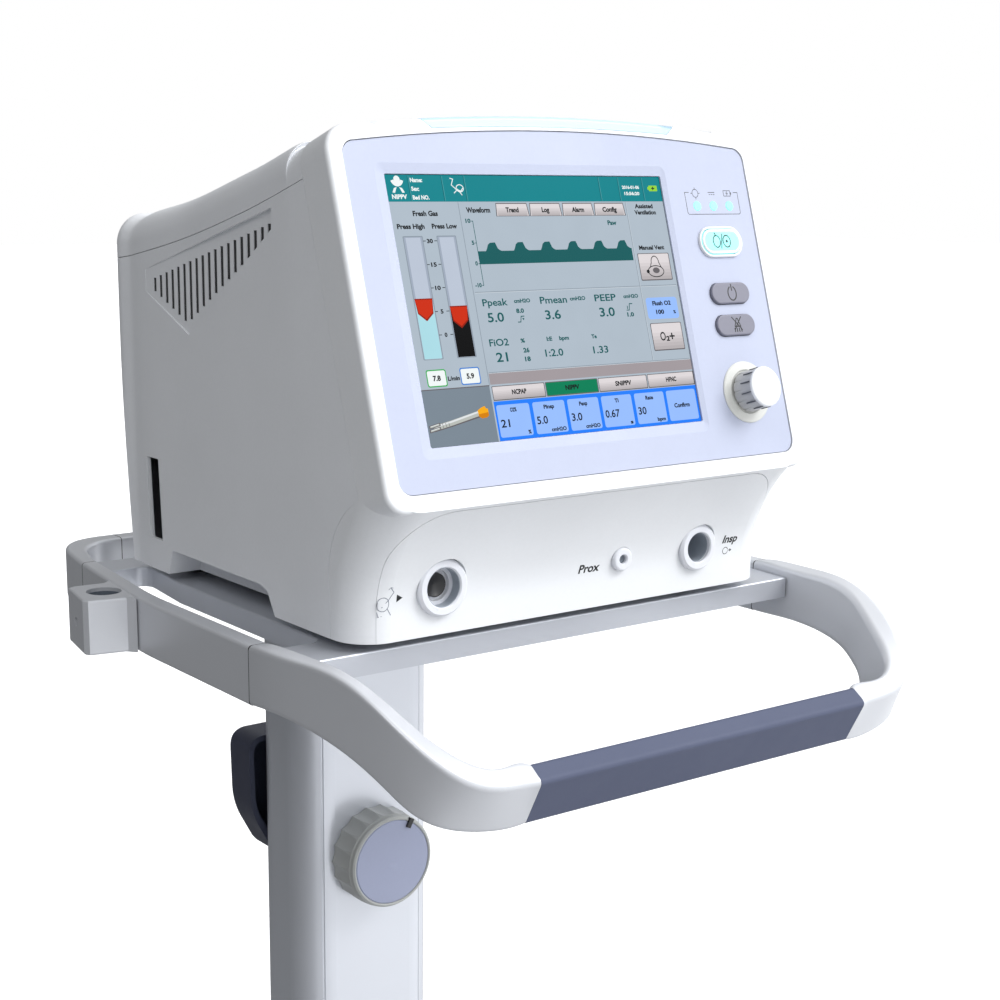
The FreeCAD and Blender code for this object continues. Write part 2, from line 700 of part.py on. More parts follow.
def make_buttons():
    """Slot-shaped keys on their stems; each is a body with a pad and an eased rim."""
    for label, row, width in BUTTONS:
        body = new_body(label, on_panel(D["control_column"], D[row], 0.0))
        sketch = new_sketch(body)
        radius = D[width] / 2
        reach = D["button_length"] / 2 - radius
        ends = (Vector(-reach, radius, 0), Vector(reach, radius, 0), Vector(reach + radius, 0, 0),
                Vector(reach, -radius, 0), Vector(-reach, -radius, 0), Vector(-reach - radius, 0, 0))
        top = sketch.addGeometry(Part.LineSegment(ends[0], ends[1]), False)
        right = sketch.addGeometry(Part.Arc(ends[1], ends[2], ends[3]), False)
        low = sketch.addGeometry(Part.LineSegment(ends[3], ends[4]), False)
        left = sketch.addGeometry(Part.Arc(ends[4], ends[5], ends[0]), False)
        add = sketch.addConstraint
        add(Sketcher.Constraint("Tangent", top, 2, right, 2))
        add(Sketcher.Constraint("Tangent", right, 1, low, 1))
        add(Sketcher.Constraint("Tangent", low, 2, left, 2))
        add(Sketcher.Constraint("Tangent", left, 1, top, 1))
        add(Sketcher.Constraint("Horizontal", top))
        fix_point(sketch, right, 3, f"button_length / 2 - {width} / 2", 0)
        fix_point(sketch, left, 3, f"{width} / 2 - button_length / 2", 0)
        index = add(Sketcher.Constraint("Radius", right, radius))
        sketch.setExpression(f"Constraints[{index}]", linked(f"{width} / 2"))
        item = pad(body, sketch, "button_proud")
        item.Type2 = "Length"
        item.SideType = "Two sides"
        bind(item, "Length2", "bezel_thick + bezel_sink + 2")
        ease(body, 0.9, lambda e: abs(e.BoundBox.ZMin - D["button_proud"]) < 1e-4
             and e.BoundBox.ZLength < 1e-4)


def make_screen():
    """Touch glass, and the display module behind it."""
    glass = doc.addObject("Part::Box", "touch_screen")
    bind(glass, "Length", "screen_width + 4")
    bind(glass, "Width", "screen_tall + 4")
    bind(glass, "Height", "glass_thick")
    left, _, low, _ = screen_edges()
    base = D["recess_depth"] + 1.2 + D["glass_thick"]
    keep(glass, "touch_screen", on_panel(left - 2, low - 2, -base))
    module = doc.addObject("Part::Box", "display_module")
    bind(module, "Length", "screen_width + 16")
    bind(module, "Width", "screen_tall + 14")
    bind(module, "Height", "module_depth")
    keep(module, "display_module", on_panel(left - 8, low - 7, -5.25 - D["module_depth"]))


def make_encoder():
    """Rotary push encoder: fixed dish on the panel, sprung shaft, and the fluted knob on it."""
    u, v = D["control_column"], D["knob_row"]
    face = -D["bezel_sink"]
    dish = new_body("encoder_collar", on_panel(u, v, face))
    revolve(dish, [("shaft_radius + running_gap", 0), ("collar_radius", 0), ("collar_radius", 0.5),
                   ("collar_radius - 0.8", 1.0), ("knob_radius + 1.2", 1.5), ("knob_radius + 0.4", 0.8),
                   ("shaft_radius + running_gap", 0.8)])
    shaft = new_body("encoder_shaft", on_panel(u, v, face))
    revolve(shaft, [(0, -14), ("shaft_radius + 1.5", -14), ("shaft_radius + 1.5", -8),
                    ("shaft_radius", -8), ("shaft_radius", 12), (0, 12)])
    knob = new_body("encoder_knob", on_panel(u, v, face))
    revolve(knob, [("shaft_radius + running_gap", 2.4), ("knob_radius", 2.4), ("knob_radius - 0.9", 15.4),
                   ("knob_radius - 0.4", 15.5), ("knob_radius - 0.4", 17.3), ("knob_radius - 1.6", 18.3),
                   (0, 18.3), (0, 12.4), ("shaft_radius + running_gap", 12.4)])
    doc.recompute()
    sketch = new_sketch(knob)
    circle(sketch, 0, "knob_radius + 0.15", 0.75)
    groove = pocket(knob, sketch, 15.4, True)
    pattern = knob.newObject("PartDesign::PolarPattern", "encoder_flutes")
    pattern.Originals = [groove]
    pattern.Axis = (sketch, ["N_Axis"])
    pattern.Angle = 360
    pattern.Occurrences = 12
    knob.Tip = pattern
    doc.recompute()


# ---------------------------------------------------------------- head unit: connections
def make_ports():
    """Patient-side port with its stepped bore, pressure port and inspiratory cone."""
    z = D["port_height"]
    port = new_body("patient_port", facing_front(D["port_left"], 0.0, z))
    revolve(port, [("inner_bore", -22), ("patient_bore + 1.8", -22), ("patient_bore + 1.8", 0.03),
                   ("patient_bore + 5.6", 0.03), ("patient_bore + 5.6", 3.0), ("patient_bore + 4.7", 3.9),
                   ("patient_bore + 4.1", 4.4), ("patient_bore + 0.8", 4.4), ("patient_bore", 3.6),
                   ("patient_bore", -4.5), ("inner_bore + 2.2", -4.5), ("inner_bore + 2.2", -7.5),
                   ("inner_bore", -7.5)])
    prox = new_body("prox_port", facing_front(D["port_prox"], 0.0, z))
    revolve(prox, [(1.4, -14), (4.8, -14), (4.8, 0.03), (7.8, 0.03), (7.8, 3.0), (7.0, 3.9), (6.2, 4.2),
                   (3.6, 4.2), (2.9, 3.4), (2.9, -8), (1.4, -8)])
    cone = new_body("insp_port", facing_front(D["port_right"], 0.0, z))
    revolve(cone, [("cone_bore", -24), ("cone_bore + 1.6", -24), ("cone_bore + 1.6", 0.03),
                   ("cone_bore + 5.7", 0.03), ("cone_bore + 5.7", 3.0), ("cone_bore + 4.8", 3.9),
                   ("cone_bore + 4.2", 4.4), ("cone_bore + 0.8", 4.4), ("cone_bore", 3.6)])


def rear_depth(z):
    """Depth of the rear panel's outer face at height z."""
    slope = 15.5 / (12.0 - D["body_bottom"])
    return D["body_rear"] + (z - D["body_bottom"]) * slope - 1.2


def make_inlets():
    """Gas inlets and the mains inlet in the rear panel."""
    nipples = []
    for (x, z, radius), nose in ((REAR_HOLES[0], 7.5), (REAR_HOLES[1], 7.0)):
        outline = [(2.5, -16), (radius - 0.3, -16), (radius - 0.3, 1.2), (11.5, 1.2), (11.5, 6),
                   (radius - 0.3, 6), (nose - 0.8, 8), (nose - 0.8, 9), (nose, 9), (nose, 21),
                   (nose - 1, 22), (2.5, 22), (2.5, -16)]
        points = [Vector(r, 0, h) for r, h in outline]
        turned = Part.Face(Part.makePolygon(points)).revolve(Vector(0, 0, 0), Z_AXIS, 360)
        turned.Placement = Placement(Vector(x, rear_depth(z), z), Rotation(X_AXIS, -90))
        nipples.append(turned)
    feature("gas_inlets", Part.makeCompound(nipples))
    x, z = -110.0, -149.5
    inlet = doc.addObject("Part::Box", "power_inlet_shell")
    for prop, size in (("Length", 27.4), ("Width", 20.4), ("Height", 24.0)):
        setattr(inlet, prop, size)
    inlet.Placement = Placement(Vector(-13.7, -10.2, -20.0), Rotation())
    flange = doc.addObject("Part::Box", "power_inlet_flange")
    for prop, size in (("Length", 48.0), ("Width", 26.0), ("Height", 2.6)):
        setattr(flange, prop, size)
    flange.Placement = Placement(Vector(-24.0, -13.0, 1.4), Rotation())
    well = doc.addObject("Part::Box", "power_inlet_well")
    for prop, size in (("Length", 23.0), ("Width", 16.0), ("Height", 20.0)):
        setattr(well, prop, size)
    well.Placement = Placement(Vector(-11.5, -8.0, -15.0), Rotation())
    outer = doc.addObject("Part::Fuse", "power_inlet_outer")
    outer.Base, outer.Tool = inlet, flange
    body = doc.addObject("Part::Cut", "power_inlet")
    body.Base, body.Tool = outer, well
    keep(body, "power_inlet", facing_rear(x, rear_depth(z), z))


def make_fan():
    """Cooling fan behind the rear panel: square frame with its hub bearing, and the rotor."""
    x, z, radius = REAR_HOLES[2]
    face = rear_depth(z) - 5.2
    slope = math.degrees(math.atan(15.5 / (12.0 - D["body_bottom"])))
    turned = Rotation(Vector(1, 0, 0), -90 - slope)
    place = at_head(x, face, z, turned)
    frame = box(-40, 40, -40, 40, -20, 0)
    frame = frame.cut(Part.makeCylinder(radius + 1.2, 40, Vector(0, 0, -30)))
    hub = Part.makeCylinder(13, 2.6, Vector(0, 0, -20))
    struts = hub
    for i in range(4):
        strut = box(0, 39, -1.6, 1.6, -20, -17.4)
        strut.rotate(Vector(0, 0, 0), Z_AXIS, 45 + 90 * i)
        struts = struts.fuse(strut)
    pin = Part.makeCylinder(1.5, 14, Vector(0, 0, -20))
    frame = frame.fuse(struts).fuse(pin)
    feature("fan_frame", solid_of(frame), place)
    rotor = Part.makeCylinder(13, 15.5, Vector(0, 0, -16.9))
    for i in range(7):
        blade = box(12, radius - 0.8, -0.8, 0.8, -7.5, 7.5)
        blade.rotate(Vector(0, 0, 0), X_AXIS, 38)
        blade.translate(Vector(0, 0, -9.2))
        blade = blade.common(Part.makeCylinder(radius - 0.8, 15.0, Vector(0, 0, -16.7)))
        blade.rotate(Vector(0, 0, 0), Z_AXIS, i * 360 / 7)
        rotor = rotor.fuse(blade)
    bore = Part.makeCylinder(1.5 + D["running_gap"], 20.5, Vector(0, 0, -26.0))
    feature("fan_rotor", solid_of(rotor.cut(bore)), place)


# ---------------------------------------------------------------- head unit: inside
def make_inside():
    """Tray, boards, supply, battery and gas path, plain solids at their real places."""
    tray = box(-150, 150, 34, 280, -188.9, -187.4)
    tray = tray.cut(box(-150, -135, 60, 272, -190, -180)).cut(box(135, 150, 60, 272, -190, -180))
    for x0, x1 in ((-134.5, -133.0), (133.0, 134.5)):
        tray = tray.fuse(box(x0, x1, 60, 272, -188.9, -172))
    feature("chassis_tray", solid_of(tray))
    supply = box(-128, -40, 196, 262, -187, -120)
    feature("power_supply", rounded(supply, 2.0, lambda e: along(e, Y_AXIS)))
    battery = box(-128, -44, 70, 190, -187, -140)
    feature("battery_pack", rounded(battery, 4.0, lambda e: along(e, Y_AXIS)))
    board = box(-120, 120, 120, 121.6, -110, 40)
    for x, z, wide, tall, deep in ((-80, -60, 34, 34, 4), (-20, -50, 26, 26, 3), (40, -70, 60, 18, 9),
                                   (-90, 5, 40, 14, 11), (60, 0, 24, 24, 3)):
        board = board.fuse(box(x - wide / 2, x + wide / 2, 120 - deep, 120.2, z - tall / 2, z + tall / 2))
    feature("main_board", solid_of(board))
    blender = box(-30, 40, 150, 236, -187, -135)
    blender = rounded(blender, 2.0, lambda e: along(e, Z_AXIS))
    for y in (168, 218):
        blender = blender.fuse(Part.makeCylinder(11, 34, Vector(-12, y, -136)))
        blender = blender.fuse(Part.makeCylinder(11, 34, Vector(22, y, -136)))
    feature("gas_blender", solid_of(blender))
    sensor = Part.makeCylinder(13, 62, Vector(D["port_right"], 26, D["port_height"]), Y_AXIS)
    sensor = sensor.fuse(box(D["port_right"] - 13, D["port_right"] + 13, 40, 74, -170, -143))
    sensor = sensor.cut(Part.makeCylinder(9.5, 80, Vector(D["port_right"], 20, D["port_height"]), Y_AXIS))
    feature("flow_sensor", solid_of(sensor))


def make_feet_and_screws():
    """Rubber feet under the unit; the screws of its rear panel and of the accessory socket."""
    feet, screws = [], []
    for x in (-128, 128):
        for y in (44, 262):
            foot = Part.makeCone(11, 9.6, D["foot_tall"], Vector(x, y, D["body_bottom"]), Vector(0, 0, -1))
            feet.append(foot)
    feature("unit_feet", Part.makeCompound(feet))
    slope = math.degrees(math.atan(15.5 / (12.0 - D["body_bottom"])))
    for x in (-140, 140):
        for z in (-170, -86, -2):
            head = Part.makeCone(3.4, 2.6, 1.7).cut(box(-0.5, 0.5, -2.2, 2.2, 0.9, 3))
            head = head.cut(box(-2.2, 2.2, -0.5, 0.5, 0.9, 3))
            head.Placement = Placement(Vector(x, rear_depth(z) + 0.02, z), Rotation(X_AXIS, -90 - slope))
            screws.append(head)
    pin = Part.makeCylinder(2.8, 3.2, Vector(-29.6, -1.2, D["ring_tall"] / 2), X_AXIS)
    pin = pin.cut(Part.makeCylinder(1.5, 2.0, Vector(-30.0, -1.2, D["ring_tall"] / 2), X_AXIS))
    pin.Placement = socket_place()
    screws.append(pin)
    feature("case_screws", Part.makeCompound(screws))


# ---------------------------------------------------------------- trolley: platform and ring
def ring_depth():
    """Low face of the ring, about the screen's centre."""
    return D["ring_top"] - D["ring_tall"]


def make_platform():
    """Tray with a front and a rear crossbar that reach the side rails."""
    body = new_body("platform", at_head(0, 0, 0))
    sketch = new_sketch(body)
    half = [
        (196.2, "platform_front"), (199.5, "rail_front"), (199.5, "crossbar_front"),
        ("platform_half", "crossbar_front"), ("platform_half - 1", 230.0), ("platform_narrow", "crossbar_rear"),
        (188.1, "crossbar_rear"), ("rear_half - rear_thick - 0.4", "rail_rear"), (182.6, "platform_rear"),
    ]
    mirrored = [(f"-({x})", y) for x, y in reversed(half)]
    polygon(sketch, half + mirrored)
    pad(body, sketch, "platform_thick")
    body.Placement = at_head(0, 0, D["platform_top"] - D["platform_thick"])
    corners = [(D["platform_half"], D["crossbar_front"]), (D["platform_narrow"], D["crossbar_rear"])]
    ease(body, 9.0, lambda e: along(e, Z_AXIS) and any(
        abs(abs(middle(e).x) - x) < 1 and abs(middle(e).y - y) < 1 for x, y in corners))
    thick = D["platform_thick"]
    ease(body, 1.2, lambda e: abs(e.BoundBox.ZMin - thick) < 1e-4 and e.BoundBox.ZLength < 1e-4
         and e.Length > 3)


def make_rails():
    """Aluminium rails at the sides of the tray; they draw in towards the rear."""
    for label, sign in (("left_rail", "-"), ("right_rail", "")):
        body = new_body(label, at_head(0, D["rail_front"], ring_depth()))
        sketch = new_sketch(body)
        bend, long = "rail_bend - rail_front", "rail_rear - rail_front"
        outline = [
            ("ring_half", 0), ("ring_half", bend), ("rear_half", long), ("rear_half - rear_thick", long),
            ("ring_half - ring_thick", bend), ("ring_half - ring_thick", 0),
        ]
        polygon(sketch, [(f"{sign}({x})", y) for x, y in outline])
        pad(body, sketch, "ring_tall")
        turn = D["rail_bend"] - D["rail_front"]
        ease(body, 350.0, lambda e: along(e, Z_AXIS) and abs(middle(e).y - turn) < 1)
        ease(body, 2.4, lambda e: e.BoundBox.ZLength < 1e-4 and e.BoundBox.YLength > 20)


def smooth_section(corners, radius):
    """Closed section with eased corners; each corner is a short curved edge."""
    count = len(corners)
    legs = []
    for i in range(count):
        here = Vector(*corners[i])
        before, after = Vector(*corners[i - 1]), Vector(*corners[(i + 1) % count])
        legs.append((here + (before - here).normalize() * radius, here,
                     here + (after - here).normalize() * radius))
    edges = []
    for i in range(count):
        start, here, end = legs[i]
        curve = Part.BezierCurve()
        curve.setPoles([start, here, end])
        edges.append(curve.toShape())
        edges.append(Part.makeLine(end, legs[(i + 1) % count][0]))
    return Part.Wire(edges)


def arm_sections():
    """Sections of the left arm from the rail to the grip.

    Each lists its outer top, outer low, inner low and inner top corner."""
    out, low, top = -D["ring_half"], ring_depth(), D["ring_top"]
    inn, end = out + D["ring_thick"], -D["grip_half"]
    return [
        [(out, 43, top), (out, 43, low), (inn, 43, low), (inn, 43, top)],
        [(-214.4, 15, -191.2), (-214.2, 15, -227.6), (-197.2, 15, -228.4), (-198.1, 15, -192.0)],
        [(-211, -20, -190.6), (-210.5, -20, -230.6), (-193.8, -19, -228.6), (-196.6, -20, -192.2)],
        [(-206, -52, -194.8), (-205, -52, -238.8), (-187.6, -48, -232), (-194, -51, -196.8)],
        [(-198.9, -84, -209.7), (-198.6, -79, -251.9), (-178.6, -70, -239), (-185.2, -78, -211.3)],
        [(-190.1, -104, -224), (-190.5, -96, -263), (-170, -84.5, -249), (-177, -98, -222.6)],
        [(-178, -117.6, -235.3), (-178, -105, -269), (-159.5, -91, -259.5), (-165, -111.3, -231)],
        [(-160, -124.3, -242), (-160, -109, -273), (-146, -95.5, -266), (-150, -114.3, -235)],
        [(end, -126, -244.8), (end, -111, -274), (end, -97, -268.5), (end, -114, -236.6)],
    ]


def make_arms():
    """Cast handles that sweep from the rails down to the grip."""
    sections = [smooth_section(corners, 3.6) for corners in arm_sections()]
    left = Part.makeLoft(sections, True, False)
    feature("left_arm", left)
    feature("right_arm", left.mirror(Vector(0, 0, 0), X_AXIS))


def make_grip():
    """Soft grip between the arms; the section is a slanted bar."""
    end = [(y, z) for _, y, z in arm_sections()[-1]]
    half = D["grip_half"] - 0.15
    body = new_body("grip", at_head(-half, 0, 0))
    sketch = new_sketch(body, "YZ_Plane")
    polygon(sketch, end)
    item = pad(body, sketch, 2 * half)
    bind(item, "Length", "2 * grip_half - 0.3")
    ease(body, 3.2, lambda e: along(e, X_AXIS))


def curve(points, first, last):
    """Smooth edge through points, with the given directions at its ends."""
    spline = Part.BSplineCurve()
    spline.interpolate(Points=points, InitialTangent=first, FinalTangent=last)
    return spline.toShape()


def make_rear_ring():
    """Moulded rear corners and the straight bar between them."""
    z, end, rear = ring_depth(), D["bar_end"], D["bar_rear"]
    front = rear - D["bar_thick"]
    outside = [(D["rear_half"], D["rail_rear"]), (193.2, 337), (187.6, 360), (180.3, 374.5), (167, 386.6),
               (151, 391.2), (end, rear)]
    inside = [(end, front), (146, front - 0.6), (157, 370.6), (168.5, 361), (175.6, 349.5), (181.6, 330),
              (D["rear_half"] - D["rear_thick"], D["rail_rear"])]
    slope = (D["ring_half"] - D["rear_half"]) / (D["rail_rear"] - D["rail_bend"])
    back, across = Vector(-slope, 1, 0).normalize(), Vector(-1, 0, 0)
    outer = curve([Vector(x, y, z) for x, y in outside], back, across)
    inner = curve([Vector(x, y, z) for x, y in inside], -across, -back)
    wire = Part.Wire([outer, Part.makeLine(Vector(end, rear, z), Vector(end, front, z)), inner,
                      Part.makeLine(inner.lastVertex().Point, outer.firstVertex().Point)])
    corner = Part.Face(wire).extrude(Vector(0, 0, D["ring_tall"]))
    corner = rounded(corner, 2.6, lambda e: e.BoundBox.ZLength < 1e-4 and e.Curve.TypeId == "Part::GeomBSplineCurve")
    feature("rear_right_corner", solid_of(corner))
    feature("rear_left_corner", solid_of(corner).mirror(Vector(0, 0, 0), X_AXIS))
    body = new_body("rear_bar", at_head(-end, front, z))
    sketch = new_sketch(body)
    polygon(sketch, [(0, 0), ("2 * bar_end", 0), ("2 * bar_end", "bar_thick"), (0, "bar_thick")])
    pad(body, sketch, "ring_tall")
    ease(body, 2.6, lambda e: along(e, X_AXIS))


def socket_place():
    """The accessory socket stands square on the left rail where the rail draws in."""
    ratio = (D["ring_half"] - D["rear_half"]) / (D["rail_rear"] - D["rail_bend"])
    x = -D["ring_half"] + ratio * (D["socket_y"] - D["rail_bend"])
    return Placement(Vector(x, D["socket_y"], ring_depth()), Rotation(Z_AXIS, -math.degrees(math.atan(ratio))))


def make_socket():
    """Accessory socket on the left rail: a block with an upright bore and a set screw."""
    body = new_body("accessory_socket", at_head(0, 0, 0).multiply(socket_place()))
    sketch = new_sketch(body)
    polygon(sketch, [(-33.0, -20.4), (-30.4, -24.4), (-5.0, -25.4), (-0.05, -30.0), (-0.05, 27.0), (-4.0, 23.0),
                     (-26.0, 21.6), (-31.0, 18.6)])
    pad(body, sketch, "ring_tall")
    ease(body, 1.4, lambda e: e.BoundBox.ZLength < 1e-4 and e.BoundBox.XMax < -0.5)
    bore = new_sketch(body)
    circle(bore, -12.8, -1.7, "socket_bore")
    pocket(body, bore, "ring_tall", True)
    side = new_sketch(body, "YZ_Plane")
    side.AttachmentOffset = Placement(Vector(0, 0, -12.8), Rotation())
    circle(side, -1.2, "ring_tall / 2", 2.9)
    pocket(body, side, 24.0)


# ---------------------------------------------------------------- trolley: column and its fittings
def column_outline(sketch, half, deep, radius):
    """Rounded rectangle about the sketch's origin, for the extruded column."""
    a, b, r = val(half), val(deep) / 2, val(radius)
    k = 1 - math.sqrt(0.5)
    points = [(a, -b + r), (a, b - r), (a - r, b), (r - a, b), (-a, b - r), (-a, r - b), (r - a, -b), (a - r, -b)]
    mids = [(a - r * k, b - r * k), (r * k - a, b - r * k), (r * k - a, r * k - b), (a - r * k, r * k - b)]
    for i in range(4):
        start, stop = Vector(*points[2 * i], 0), Vector(*points[2 * i + 1], 0)
        after = Vector(*points[(2 * i + 2) % 8], 0)
        line = sketch.addGeometry(Part.LineSegment(start, stop), False)
        arc = sketch.addGeometry(Part.Arc(stop, Vector(*mids[i], 0), after), False)
        sketch.addConstraint(Sketcher.Constraint("Coincident", line, 2, arc, 1))
    first = sketch.GeometryCount - 8
    for i in range(4):
        sketch.addConstraint(Sketcher.Constraint("Coincident", first + 2 * i + 1, 2, first + (2 * i + 2) % 8, 1))
    for i, (sx, sy) in enumerate(((1, 1), (-1, 1), (-1, -1), (1, -1))):
        along_x = f"{half} - {radius}" if sx > 0 else f"{radius} - {half}"
        along_y = f"{deep} / 2 - {radius}" if sy > 0 else f"{radius} - {deep} / 2"
        fix_point(sketch, first + 2 * i + 1, 3, along_x, along_y)
        index = sketch.addConstraint(Sketcher.Constraint("Radius", first + 2 * i + 1, r))
        sketch.setExpression(f"Constraints[{index}]", linked(radius))


def make_column():
    """Hollow extruded column with a shallow vertical groove at each side of its front."""
    top = D["platform_top"] - D["platform_thick"] + D["screen_height"]
    place = Placement(Vector(0, D["column_y"] + D["depth_shift"], D["column_foot"]), Rotation())
    body = new_body("column", place)
    sketch = new_sketch(body)
    column_outline(sketch, "column_half", "column_deep", "column_radius")
    item = pad(body, sketch, top - D["column_foot"])
    bind(item, "Length", "screen_height + platform_top - platform_thick - column_foot")
    hollow = new_sketch(body)
    column_outline(hollow, "(column_half - column_wall)", "(column_deep - 2 * column_wall)",
                   "(column_radius - column_wall)")
    cut = pocket(body, hollow, 10.0, True)
    bind(cut, "Length", "screen_height + platform_top - platform_thick - column_foot")
    for x in (-44.0, 44.0):
        groove = new_sketch(body)
        circle(groove, x, "1.6 - column_deep / 2", 1.1)
        cut = pocket(body, groove, 10.0, True)
        bind(cut, "Length", "screen_height + platform_top - platform_thick - column_foot")
    bolt = new_sketch(body, "XZ_Plane")
    circle(bolt, 0, "screen_height + clamp_height - column_foot", "stem_radius + 0.4")
    pocket(body, bolt, 60.0, True)
    doc.recompute()


def make_column_knob():
    """Clamp knob on the column's front: scalloped ring on its threaded stem, and the inlaid disc."""
    y, z = D["clamp_face_y"], D["clamp_height"]
    ring = new_body("column_knob", facing_front(0, y, z))
    revolve(ring, [(0, -3.4), ("clamp_radius - 3.6", -3.4), ("clamp_radius - 3.6", -0.6),
                   ("clamp_radius - 3.0", 0), ("clamp_radius - 2.2", 0), ("clamp_radius - 0.9", -1.2),
                   ("clamp_radius - 0.6", -4.0), ("clamp_radius", -5.2), ("clamp_radius + 1.8", "1.5 - clamp_deep"),
                   ("clamp_radius + 0.8", "-clamp_deep"), ("clamp_radius - 4", "-clamp_deep"),
                   ("clamp_radius - 4", -7.5), ("stem_radius", -7.5), ("stem_radius", -41),
                   ("stem_radius - 0.8", -42), (0, -42)])
    doc.recompute()
    sketch = new_sketch(ring)
    sketch.AttachmentOffset = Placement(Vector(0, 0, -5.2), Rotation())
    circle(sketch, 0, "clamp_radius + 18.5", 19.3)
    scallop = pocket(ring, sketch, "clamp_deep")
    pattern = ring.newObject("PartDesign::PolarPattern", "clamp_scallops")
    pattern.Originals = [scallop]
    pattern.Axis = (sketch, ["N_Axis"])
    pattern.Angle = 360
    pattern.Occurrences = 18
    ring.Tip = pattern
    doc.recompute()
    disc = new_body("knob_disc", facing_front(0, y, z))
    revolve(disc, [(0, -3.4), ("clamp_radius - 3.7", -3.4), ("clamp_radius - 3.7", -0.9),
                   ("clamp_radius - 4.5", -0.2), (0, 0.5)])


def make_hook():
    """Dished hose hanger behind the column."""
    wide, low, high = 65.0, -452.0, -349.0
    y0, y1 = D["column_y"] + D["column_deep"] / 2, 342.0

    def outline(inset, y):
        corners = [(-wide + inset, y, high - inset), (wide - inset, y, high - inset),
                   (wide - 1.5 - inset, y, -410 + inset * 0.4), (41 - inset, y, low + inset),
                   (-41 + inset, y, low + inset), (-wide + 1.5 + inset, y, -410 + inset * 0.4)]
        return smooth_section(corners, 15.0 - inset)

    outer = Part.Face(outline(0, y0)).extrude(Vector(0, y1 - y0, 0))
    hollow = Part.Face(outline(4.5, y0 - 1)).extrude(Vector(0, y1 - y0 - 3.0, 0))
    boss = box(-24, 24, y0, y1 - 1, -430, -372)
    shape = outer.cut(hollow).fuse(boss)
    feature("hose_hook", solid_of(shape))


# ---------------------------------------------------------------- base and casters, from the floor
def leg_section(x, y, heading, half, low, high, radius):
    """Upright section of a leg, square to its heading."""
    across = Vector(-math.sin(heading), math.cos(heading), 0)
    corners = []
    for side, z in ((1, high), (1, low), (-1, low), (-1, high)):
        spot = Vector(x, y, z) + across * (side * half * (0.86 if z == high else 1.0))
        corners.append((spot.x, spot.y, spot.z))
    return smooth_section(corners, radius)


def make_base():
    """Cast base: a hub under the column and four legs that end over the casters."""
    hub_y = D["column_y"] + D["depth_shift"]
    low = D["leg_bottom"]
    hub = Part.makeCylinder(78, D["column_foot"] - low, Vector(0, hub_y, low))
    hub = rounded(hub, 8.0, lambda e: abs(e.BoundBox.ZMin - D["column_foot"]) < 1e-4)
    base = hub
    for x in (-D["caster_x"], D["caster_x"]):
        for y in (D["caster_front"], D["caster_back"]):
            heading = math.atan2(y - hub_y, x)
            sections = [
                leg_section(x * 0.10, hub_y + (y - hub_y) * 0.10, heading, 40, low, low + 36, 7.0),
                leg_section(x * 0.45, hub_y + (y - hub_y) * 0.45, heading, 31, low, low + 31, 7.0),
                leg_section(x, y, heading, 23, low, low + 21, 6.0),
            ]
            leg = Part.makeLoft(sections, True, False)
            end = Part.makeCylinder(D["leg_end"], 22.0, Vector(x, y, low))
            end = rounded(end, 5.0, lambda e: abs(e.BoundBox.ZMin - low - 22) < 1e-4)
            base = base.fuse(leg).fuse(end)
            base = base.cut(Part.makeCylinder(D["stem_radius"] + D["running_gap"], 16, Vector(x, y, low - 1)))
    feature("base_frame", solid_of(base), Placement())


CASTERS = [("fl", -1, "caster_front"), ("fr", 1, "caster_front"), ("rl", -1, "caster_back"),
           ("rr", 1, "caster_back")]


PEDAL_PIVOT = (24.0, 111.0)      # behind the swivel axis, above the floor


def fork_shape():
    """Fork with its stem and riveted axle, about the swivel axis on the floor; it trails to +Y."""
    r, trail, wide = D["wheel_radius"], D["caster_trail"], D["wheel_width"]
    top = D["leg_bottom"] - 1.0
    cheek = wide / 2 + 2.2
    outline = [(-24.0, top), ((-14.0, top - 22.0), (trail - 12.0, r - 8.0)),
               ((trail, r - 13.0), (trail + 12.0, r - 6.0)), ((trail + 24.0, top - 34.0), (26.0, top))]
    cheeks = side_prism(outline, cheek + 3.2).cut(box(-cheek, cheek, -60, 90, 0, top - 7.0))
    crown = Part.makeCylinder(26.0, 7.0, Vector(0, 0, top - 7.0))
    stem = Part.makeCylinder(D["stem_radius"], 13.0, Vector(0, 0, top - 1.0))
    axle = Part.makeCylinder(D["axle_radius"], 2 * cheek + 6.4, Vector(-cheek - 3.2, trail, r), X_AXIS)
    pin = Part.makeCylinder(2.0, 2 * cheek + 6.4, Vector(-cheek - 3.2, PEDAL_PIVOT[0], PEDAL_PIVOT[1]), X_AXIS)
    return solid_of(cheeks.fuse(crown).fuse(stem).fuse(axle).fuse(pin))


